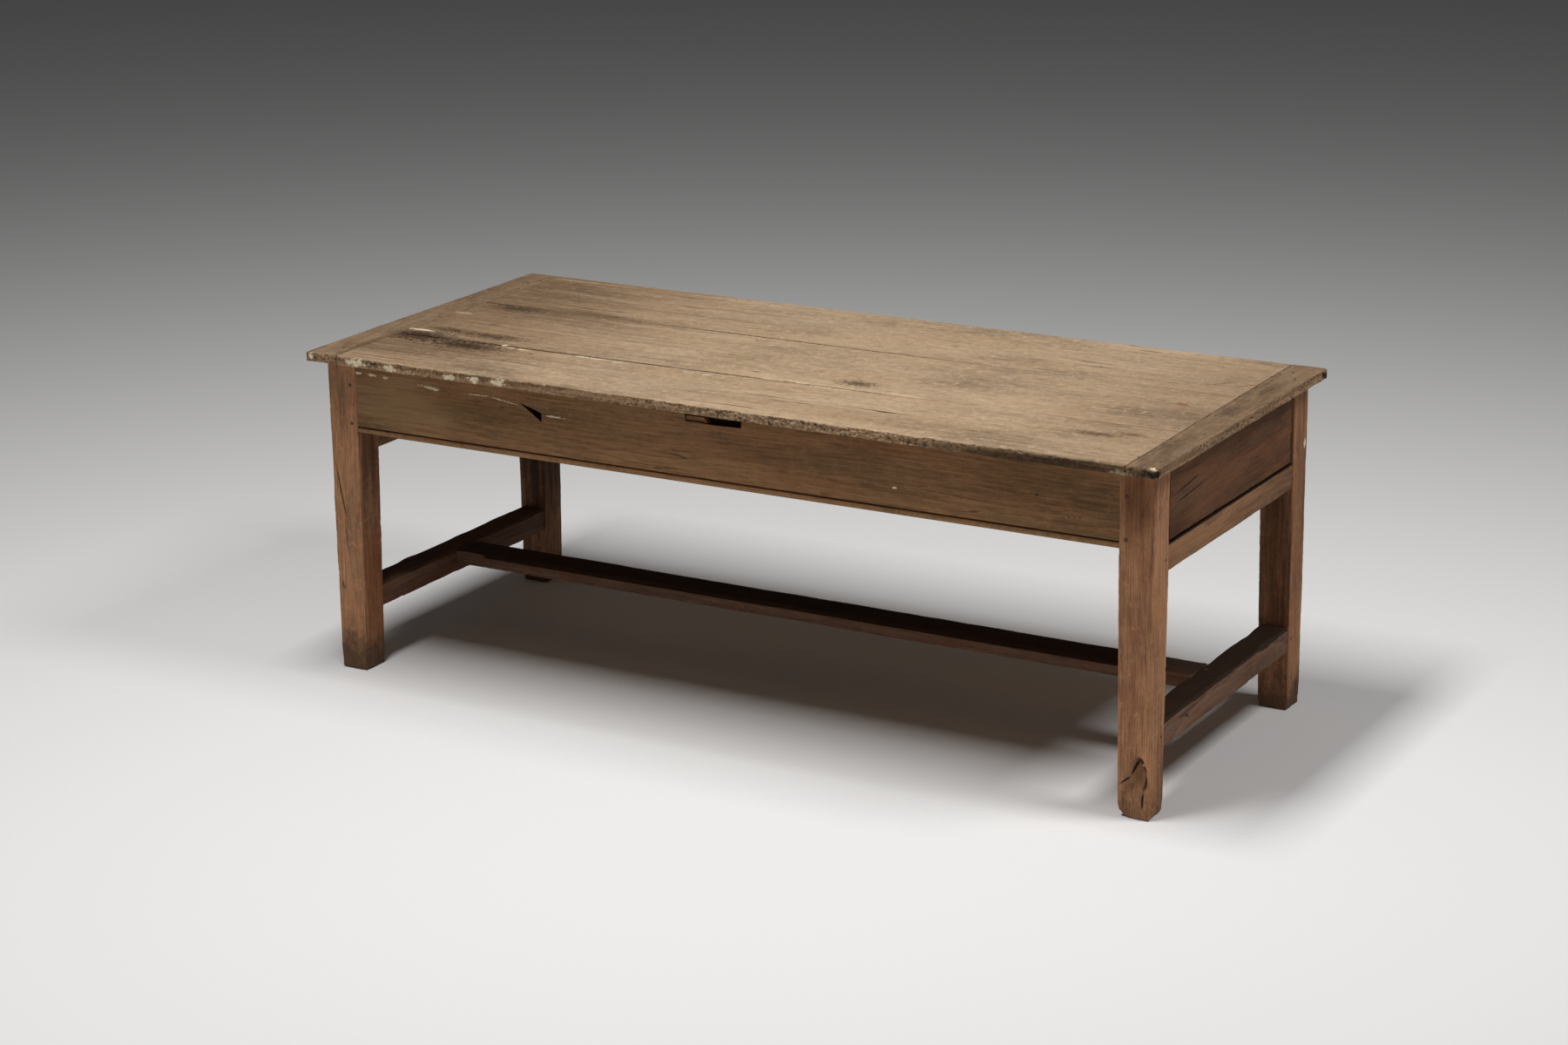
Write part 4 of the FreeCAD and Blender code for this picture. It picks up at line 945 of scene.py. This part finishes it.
        # A near-black copy of the apron colour, painted shade for the cut faces of the notch and the hole
        dark = three_tones(finish.apron, 0.12, 0.4)
        broken = frame_material("notch_painted_shade_oak", "X", (0.5, 0.3, 0.1), dark[0], finish, dark[:2])
        low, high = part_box("apron_front")
        past = 0.01
        patch_low, patch_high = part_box("apron_patch")
        notch_low = (patch_low.x, low.y - past, patch_low.z)
        notch_high = (self.notch_end, patch_high.y, high.z + past)
        notch = Timber(notch_low, notch_high, (0.006, 0.006, 0.004), fine=0.003, border=0.006)
        ragged = 0.0012
        notch.points[:, 2] += ragged * rough(notch.points, (0.02, 0.05, 0.02), seed + 20)
        notch.points[:, 0] += ragged * rough(notch.points, (0.02, 0.05, 0.008), seed + 21)
        cut_out(piece, stand("notch", notch.mesh("notch"), broken))
        # Corners of the hole along and up the face, inside and at its mouth
        inner = [(-0.433, 0.663), (-0.433, 0.652), (-0.477, 0.680)]
        mouth = [(-0.431, 0.667), (-0.431, 0.646), (-0.491, 0.685)]
        outlines = ((mouth, low.y - 0.002), (inner, low.y + 0.012), (inner, high.y + past))
        hole = bmesh.new()
        rings = [[hole.verts.new((x, y, z)) for x, z in outline] for outline, y in outlines]
        hole.faces.new(rings[0])
        hole.faces.new(rings[-1][::-1])
        for near, far in zip(rings, rings[1:]):
            for side in range(len(inner)):
                after = (side + 1) % len(inner)
                hole.faces.new((near[after], near[side], far[side], far[after]))
        bmesh.ops.recalc_face_normals(hole, faces=hole.faces)
        mesh = bpy.data.meshes.new("hole")
        hole.to_mesh(mesh)
        hole.free()
        cut_out(piece, stand("hole", mesh, broken))


class KITCHEN_TABLE_OT_drawer_rails(bpy.types.Operator):
    """Fit the rails under the two drawers"""
    bl_idname = "kitchen_table.drawer_rails"
    bl_label = "Drawer rails"

    def execute(self, context):
        wear, finish = settings(context)
        accents = (tone(128, 98, 76), tone(156, 98, 66))
        front, rear = between_legs(1, tuck=0.003)
        for row, end in enumerate(ENDS):
            node = "drawer_rail_" + end
            low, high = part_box(node)
            rail = hewn((low.x, front, low.z), (high.x, rear, high.z), (0.006, 0.005, 0.006),
                        0.8 * wear.frame_arris, wear.nick, wear.ripple, (0.04, 0.2, 0.04),
                        wear.seed + 500 + 17 * row)
            log = (0.5 * row, 0.04, -0.5)
            material = frame_material(node + "_oak", "Y", log, finish.rail, finish, accents, top_face_shade=0.9)
            dress(node, rail, material)
        return {"FINISHED"}


def chamfer(timber, axis, signs, across, down, share):
    """Takes upper arrises of a stretcher off along its length."""
    top = timber.high[2]
    for sign in signs:
        ends = timber.high if sign > 0 else timber.low
        side = (ends[axis] - timber.points[:, axis]) * sign
        drop = top - timber.points[:, 2]
        short = np.clip(1 - side / across - drop / down, 0, None) * share
        timber.points[:, axis] -= sign * short * across / 2
        timber.points[:, 2] -= short * down / 2
        timber.edge = np.maximum(timber.edge, np.clip(short * 1.5, 0, 1))


class KITCHEN_TABLE_OT_stretchers(bpy.types.Operator):
    """Fit the two end stretchers and the long stretcher between them"""
    bl_idname = "kitchen_table.stretchers"
    bl_label = "Stretchers"

    end_chamfer: amount("End chamfer", "Width and depth of the chamfers on the end stretchers",
                        0.007, 0.001, 0.02)
    long_width: amount("Long chamfer width", "Width of the chamfer on the long stretcher",
                       0.014, 0.001, 0.02)
    long_depth: amount("Long chamfer depth", "Depth of the chamfer on the long stretcher",
                       0.009, 0.001, 0.02)
    stop: amount("Stop", "Length at each end that the long chamfer leaves square", 0.070)
    run_out: amount("Run-out", "Length over which the long chamfer rises to its stop", 0.02, 0.001, 0.1)

    def execute(self, context):
        wear, finish = settings(context)
        accents = (tone(124, 102, 86), tone(132, 84, 58))
        front, rear = between_legs(1, tuck=0.009)
        # Each end stretcher has its own strength of painted shade on its upper faces
        for row, (end, top_face_shade) in enumerate(zip(ENDS, (0.5, 0.88))):
            node = "end_stretcher_" + end
            seed = wear.seed + 600 + 17 * row
            low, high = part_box(node)
            bar = hewn((low.x, front, low.z), (high.x, rear, high.z), (0.006, 0.005, 0.006),
                       wear.frame_arris, wear.nick, 1.6 * wear.ripple, (0.05, 0.16, 0.05), seed)
            worn = self.end_chamfer * (1 + 0.5 * rough(bar.points, (0.05, 0.05, 0.05), seed + 5))
            chamfer(bar, 0, (1, -1), worn, worn, 1.0)
            log = (0.7 * row, 0.05, -0.1)
            material = frame_material(node + "_oak", "Y", log, finish.stretcher, finish, accents, top_face_shade=top_face_shade)
            dress(node, bar, material)
        self.long_bar(wear, finish)
        return {"FINISHED"}

    def long_bar(self, wear, finish):
        """The long stretcher, with a stopped chamfer on its front upper arris."""
        node = "long_stretcher"
        low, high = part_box(node)
        tuck = 0.002
        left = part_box("end_stretcher_left")[1].x - tuck
        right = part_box("end_stretcher_right")[0].x + tuck
        bar = hewn((left, low.y, low.z), (right, high.y, high.z), (0.007, 0.006, 0.005), wear.frame_arris,
                   wear.nick, 1.6 * wear.ripple, (0.2, 0.05, 0.05), wear.seed + 700)
        reach = np.minimum(bar.points[:, 0] - left, right - bar.points[:, 0])
        share = smooth(reach, self.stop, self.stop + self.run_out)
        chamfer(bar, 1, (-1,), self.long_width, self.long_depth, share)
        accents = (tone(110, 84, 66), tone(116, 72, 50))
        log = (0.2, 0.02, -0.12)
        material = frame_material(node + "_oak", "X", log, finish.stretcher, finish, accents, top_face_shade=0.8)
        dress(node, bar, material)


class KITCHEN_TABLE_OT_drawer_fronts(bpy.types.Operator):
    """Put the worn fronts on the two drawers"""
    bl_idname = "kitchen_table.drawer_fronts"
    bl_label = "Drawer fronts"

    inset: amount("Inset", "Air left at each end of a drawer front", 0.0003, 0.0, 0.002)

    def execute(self, context):
        wear, finish = settings(context)
        accents = (tone(90, 74, 52), tone(142, 90, 56))
        inset = Vector((0.0, self.inset, 0.0))
        for row, end in enumerate(ENDS):
            node = end + "_drawer_front"
            low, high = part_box(node)
            panel = hewn(low + inset, high - inset, (0.005, 0.006, 0.006), wear.drawer_arris,
                         0.6 * wear.nick, wear.ripple, (0.05, 0.2, 0.05), wear.seed + 800 + 17 * row)
            marks = self.marks(finish) if end == "right" else ()
            log = (0.6 * row, 0.03, -0.55)
            material = frame_material(node + "_oak", "Y", log, finish.drawer_front, finish, accents, marks,
                                      figure=0.25, streak=0.4, fine=1.8, patch=0.4)
            dress(node, panel, material, body=end + "_drawer")
        return {"FINISHED"}

    def marks(self, finish):
        """Two splits and the dirt at the lower corner and the far end of the right drawer front."""
        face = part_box("right_drawer_front")[1].x
        # Place along and up the face, half length, half height, strength and turn
        splits = [(-0.235, 0.660, 0.070, 0.0034, 0.9, 0.10), (-0.215, 0.640, 0.100, 0.0030, 0.85, 0.08)]
        marks = [Mark(finish.grime, (face, y, z), (0.010, half, rise), strength, (turn, 0.0, 0.0), "line")
                 for y, z, half, rise, strength, turn in splits]
        return marks + [shade(finish.smudges_and_painted_shade, (face, -0.300, 0.575), (0.010, 0.160, 0.060), 0.7),
                        Mark(finish.grime, (face, 0.318, 0.640), (0.010, 0.008, 0.090), 0.9, fray="crumb")]


def islands(node):
    """Points of each separate body in a solid, its loose triangles merged."""
    shell = bmesh.new()
    shell.from_mesh(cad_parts[node].data)
    bmesh.ops.remove_doubles(shell, verts=shell.verts, dist=1e-6)
    for vertex in shell.verts:
        vertex.tag = False
    bodies = []
    for start in shell.verts:
        if start.tag:
            continue
        start.tag = True
        group = [start]
        for vertex in group:
            for edge in vertex.link_edges:
                other = edge.other_vert(vertex)
                if not other.tag:
                    other.tag = True
                    group.append(other)
        bodies.append(np.array([vertex.co for vertex in group]))
    shell.free()
    return bodies


def pin_points(node):
    """A mesh with one point at the inner end of each peg or nail, its aim and its size."""
    places, aims, sizes = [], [], []
    for points in islands(node):
        low, high = points.min(0), points.max(0)
        axis = int(np.argmax(high - low))
        place = (low + high) / 2
        spread = [np.ptp(points[np.abs(points[:, axis] - end[axis]) < SAME], axis=0).max()
                  for end in (low, high)]
        outward = 1 if axis == 2 or place[axis] > 0 else -1
        if abs(spread[0] - spread[1]) > 10 * SAME:
            outward = 1 if spread[1] > spread[0] else -1
        aim = np.zeros(3)
        aim[axis] = outward
        place[axis] = low[axis] if outward > 0 else high[axis]
        width = max(spread) / 2
        places.append(tuple(place))
        aims.append(aim)
        sizes.append((width, width, high[axis] - low[axis]))
    mesh = bpy.data.meshes.new(node + "_points")
    mesh.from_pydata(places, [], [])
    for label, values in (("aim", aims), ("size", sizes)):
        layer = mesh.attributes.new(label, "FLOAT_VECTOR", "POINT")
        layer.data.foreach_set("vector", np.array(values, np.float32).ravel())
    return mesh


class PinTree(Tree):
    """Sets one turned pin on every point, aimed and sized by the point."""

    def __init__(self, name, profile):
        self.tree = bpy.data.node_groups.new(name, "GeometryNodeTree")
        self.sockets = {}
        kinds = {"Geometry": "Geometry", "Seed": "Int", "Tilt": "Float", "Material": "Material"}
        for label, kind in kinds.items():
            made = self.tree.interface.new_socket(label, in_out="INPUT", socket_type="NodeSocket" + kind)
            self.sockets[label] = made.identifier
        self.tree.interface.new_socket("Geometry", in_out="OUTPUT", socket_type="NodeSocketGeometry")
        entry = self.node("NodeGroupInput").outputs
        draw = {"Seed": entry["Seed"], "Min": (-1.0, -1.0, -1.0)}
        lean = self.node("FunctionNodeRandomValue", draw, data_type="FLOAT_VECTOR").outputs[0]
        share = {0: lean, "Scale": entry["Tilt"]}
        tilt = self.node("ShaderNodeVectorMath", share, operation="SCALE").outputs[0]
        way = self.vector("ADD", self.attribute("aim"), tilt)
        turn = self.node("FunctionNodeAlignRotationToVector", {"Vector": way}, axis="Z").outputs[0]
        points = self.node("GeometryNodeMeshToPoints", {"Mesh": entry["Geometry"]}).outputs[0]
        put = {"Points": points, "Instance": self.turned(profile), "Rotation": turn,
               "Scale": self.attribute("size")}
        pins = self.node("GeometryNodeInstanceOnPoints", put).outputs[0]
        solid = self.node("GeometryNodeRealizeInstances", {"Geometry": pins}).outputs[0]
        dressed = self.node("GeometryNodeSetMaterial", {"Geometry": solid, "Material": entry["Material"]})
        self.node("NodeGroupOutput", {0: dressed.outputs[0]})

    def attribute(self, name):
        """A vector that each point carries."""
        made = self.node("GeometryNodeInputNamedAttribute", {"Name": name}, data_type="FLOAT_VECTOR")
        return made.outputs[0]

    def turned(self, profile):
        """A closed pin of height 1 whose half width follows the profile of heights and half widths."""
        joined = self.node("GeometryNodeJoinGeometry")
        for (foot, bottom), (head, top) in zip(profile, profile[1:]):
            sides = {"Vertices": PIN_SIDES, "Radius Bottom": bottom, "Radius Top": top, "Depth": head - foot}
            ring = self.node("GeometryNodeMeshCone", sides, fill_type="NONE").outputs[0]
            self.raise_to(ring, foot, joined)
        for height, width in (profile[0], profile[-1]):
            disc = {"Vertices": PIN_SIDES, "Radius": width}
            cap = self.node("GeometryNodeMeshCircle", disc, fill_type="NGON").outputs[0]
            if height == profile[0][0]:
                cap = self.node("GeometryNodeFlipFaces", {"Mesh": cap}).outputs[0]
            self.raise_to(cap, height, joined)
        welded = {"Geometry": joined.outputs[0], "Distance": 1e-4}
        return self.node("GeometryNodeMergeByDistance", welded).outputs[0]

    def raise_to(self, part, height, joined):
        """Lifts a part of the pin to its height and joins it to the others."""
        moved = self.node("GeometryNodeTransform", {"Geometry": part, "Translation": (0.0, 0.0, height)})
        self.tree.links.new(moved.outputs[0], joined.inputs[0])

    def drive(self, node, body, slot, material, seed, tilt):
        """Puts the pins of one solid in place as a plain mesh."""
        points = stand(node + "_points", pin_points(node), material)
        grown = points.modifiers.new("pins", "NODES")
        grown.node_group = self.tree
        for label, value in (("Seed", seed), ("Tilt", tilt), ("Material", material)):
            grown[self.sockets[label]] = value
        mesh = plain_mesh(points)
        bpy.data.objects.remove(points)
        settle(stand(node + "_driven", mesh, material), body, node)


class KITCHEN_TABLE_OT_pegs(bpy.types.Operator):
    """Drive the oak pegs through the tenons and the end tongues"""
    bl_idname = "kitchen_table.pegs"
    bl_label = "Pegs"

    tilt: amount("Tilt", "Share by which a peg may lean out of line", 0.004, 0.0, 0.02, "NONE")

    def execute(self, context):
        wear, finish = settings(context)
        accents = three_tones(finish.peg, 0.7)[:2]
        material = frame_material("peg_oak", "X", (0.3, 0.6, 0.2), finish.peg, finish, accents)
        tree = PinTree("peg_driver", ((0.0, 0.90), (0.985, 0.97), (0.998, 0.80)))
        for node in [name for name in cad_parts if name.endswith("_pegs")]:
            tree.drive(node, "frame", "peg_wood", material, wear.seed, self.tilt)
        return {"FINISHED"}


class KITCHEN_TABLE_OT_nails(bpy.types.Operator):
    """Drive the iron nails of the top, the runners and the drawers"""
    bl_idname = "kitchen_table.nails"
    bl_label = "Nails"

    tilt: amount("Tilt", "Share by which a nail may lean out of line", 0.004, 0.0, 0.02, "NONE")

    def execute(self, context):
        wear, finish = settings(context)
        material = self.iron(finish)
        profile = ((0.0, 0.20), (0.968, 0.42), (0.970, 0.92), (0.99, 0.96), (0.998, 0.70))
        tree = PinTree("nail_driver", profile)
        for node in [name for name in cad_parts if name.endswith("_nails")]:
            body = next((name for name in ("right_drawer", "left_drawer") if node.startswith(name)), "frame")
            tree.drive(node, body, "nail_iron", material, wear.seed, self.tilt)
        return {"FINISHED"}

    def iron(self, finish):
        """Old iron with brown rust in patches."""
        metal = Finish("nail_rust")
        patches = metal.noise(metal.place, (420.0, 420.0))
        colour = metal.blend(metal.between(patches, 0.40, 0.62), finish.iron, tone(92, 58, 40))
        return metal.close(colour, metal.add(patches, 0.4, 0.45), patches, depth=0.0003)


class KITCHEN_TABLE_OT_inner_woodwork(bpy.types.Operator):
    """Finish the drawer boxes, runners, guides and stops in bare wood"""
    bl_idname = "kitchen_table.inner_woodwork"
    bl_label = "Inner woodwork"

    def execute(self, context):
        _, finish = settings(context)
        accents = (tone(142, 118, 90), tone(160, 118, 78))
        log = (0.1, 0.3, 0.2)
        along_x, along_y = (frame_material("bare_wood_" + name, grain, log, finish.inner, finish, accents)
                            for name, grain in (("lengthwise", "X"), ("crosswise", "Y")))
        for name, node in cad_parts.items():
            if node.hide_render or "pegs" in name or "nails" in name:
                continue
            crosswise = name.endswith("back") or "bottom" in name
            node.data.materials.clear()
            node.data.materials.append(along_y if crosswise else along_x)
        return {"FINISHED"}


class KITCHEN_TABLE_OT_stage(bpy.types.Operator):
    """Set the floor, the lights and the camera"""
    bl_idname = "kitchen_table.stage"
    bl_label = "Stage"

    FLOOR_REACH = 30.0
    KEY_PLACE, KEY_SIZE = (-0.4, -1.4, 5.2), (0.9, 2.6)
    SIDE_PLACE, SIDE_AIM, SIDE_SIZE = (3.0, 0.2, 4.2), (0.8, 0.0, 0.4), 1.2
    CAMERA_PLACE = (3.5305, -6.1790, 2.5349)
    YAW, PITCH, ROLL = 30.197, 16.870, -0.711
    SENSOR_WIDTH = 36.0

    def execute(self, context):
        stage = context.scene.kitchen_table_stage
        context.scene.view_settings.view_transform = "Standard"
        self.floor(stage)
        self.lights(context.scene, stage)
        self.camera(context.scene, stage)
        return {"FINISHED"}

    def floor(self, stage):
        """A plain pale floor."""
        screed = Finish("studio_floor")
        speck = screed.noise(screed.place, (90.0, 90.0), detail=2.0)
        colour = screed.blend(speck, tuple(0.97 * part for part in stage.floor), stage.floor)
        material = screed.close(colour, 0.8, speck, bump=0.05, depth=0.0005, specular=0.2)
        mesh = bpy.data.meshes.new("floor")
        corners = [(x * self.FLOOR_REACH, y * self.FLOOR_REACH, 0) for x, y in AROUND]
        mesh.from_pydata(corners, [], [(0, 1, 2, 3)])
        stand("floor", mesh, material)

    def lights(self, scene, stage):
        """A key lamp over the table, a soft lamp to the right and an even light from all round."""
        width, depth = self.KEY_SIZE
        self.lamp(scene, "key", self.KEY_PLACE, stage.key_power, shape="RECTANGLE", size=width, size_y=depth)
        side = self.lamp(scene, "side", self.SIDE_PLACE, stage.side_power, size=self.SIDE_SIZE)
        side.rotation_euler = (Vector(self.SIDE_AIM) - side.location).to_track_quat("-Z", "Y").to_euler()
        world = bpy.data.worlds.new("studio")
        world.use_nodes = True
        back = world.node_tree.nodes["Background"]
        back.inputs["Color"].default_value = (1.0, 1.0, 1.0, 1.0)
        back.inputs["Strength"].default_value = stage.fill
        scene.world = world

    def lamp(self, scene, name, place, power, **form):
        """An area lamp of a form that shines straight down."""
        light = bpy.data.lights.new(name, "AREA")
        for label, value in form.items():
            setattr(light, label, value)
        light.energy = power
        made = bpy.data.objects.new(name, light)
        made.location = place
        scene.collection.objects.link(made)
        return made

    def camera(self, scene, stage):
        """The camera, turned by yaw, pitch and roll."""
        yaw, pitch, roll = map(math.radians, (self.YAW, self.PITCH, self.ROLL))
        flat = math.cos(pitch)
        forward = Vector((-math.sin(yaw) * flat, math.cos(yaw) * flat, -math.sin(pitch)))
        level = Vector((math.cos(yaw), math.sin(yaw), 0.0))
        above = level.cross(forward)
        right = math.cos(roll) * level + math.sin(roll) * above
        up = math.cos(roll) * above - math.sin(roll) * level
        lens = bpy.data.cameras.new("camera")
        lens.lens = stage.lens
        lens.sensor_width = self.SENSOR_WIDTH
        lens.sensor_fit = "HORIZONTAL"
        camera = bpy.data.objects.new("camera", lens)
        turn = Matrix((right, up, -forward)).transposed().to_4x4()
        camera.matrix_world = Matrix.Translation(self.CAMERA_PLACE) @ turn
        scene.collection.objects.link(camera)
        scene.camera = camera


STEPS = (KITCHEN_TABLE_OT_top_boards, KITCHEN_TABLE_OT_breadboard_ends, KITCHEN_TABLE_OT_legs,
         KITCHEN_TABLE_OT_aprons, KITCHEN_TABLE_OT_drawer_rails, KITCHEN_TABLE_OT_stretchers,
         KITCHEN_TABLE_OT_drawer_fronts, KITCHEN_TABLE_OT_pegs, KITCHEN_TABLE_OT_nails,
         KITCHEN_TABLE_OT_inner_woodwork, KITCHEN_TABLE_OT_stage)


class KITCHEN_TABLE_PT_sidebar(bpy.types.Panel):
    """Lists the steps that dress the table"""
    bl_idname = "KITCHEN_TABLE_PT_sidebar"
    bl_label = "Kitchen table"
    bl_space_type = "VIEW_3D"
    bl_region_type = "UI"
    bl_category = "Kitchen table"

    def draw(self, context):
        for step in STEPS:
            self.layout.operator(step.bl_idname)


GROUPS = {"kitchen_table_wear": KitchenTableWear, "kitchen_table_finish": KitchenTableFinish,
          "kitchen_table_stage": KitchenTableStage}


def register():
    for kind in (*GROUPS.values(), *STEPS, KITCHEN_TABLE_PT_sidebar):
        bpy.utils.register_class(kind)
    for label, kind in GROUPS.items():
        setattr(bpy.types.Scene, label, bpy.props.PointerProperty(type=kind))


def unregister():
    for label in GROUPS:
        delattr(bpy.types.Scene, label)
    for kind in (KITCHEN_TABLE_PT_sidebar, *reversed(STEPS), *GROUPS.values()):
        bpy.utils.unregister_class(kind)


def main():
    register()
    for step in STEPS:
        family, name = step.bl_idname.split(".")
        getattr(getattr(bpy.ops, family), name)()


if __name__ == "__main__":
    main()
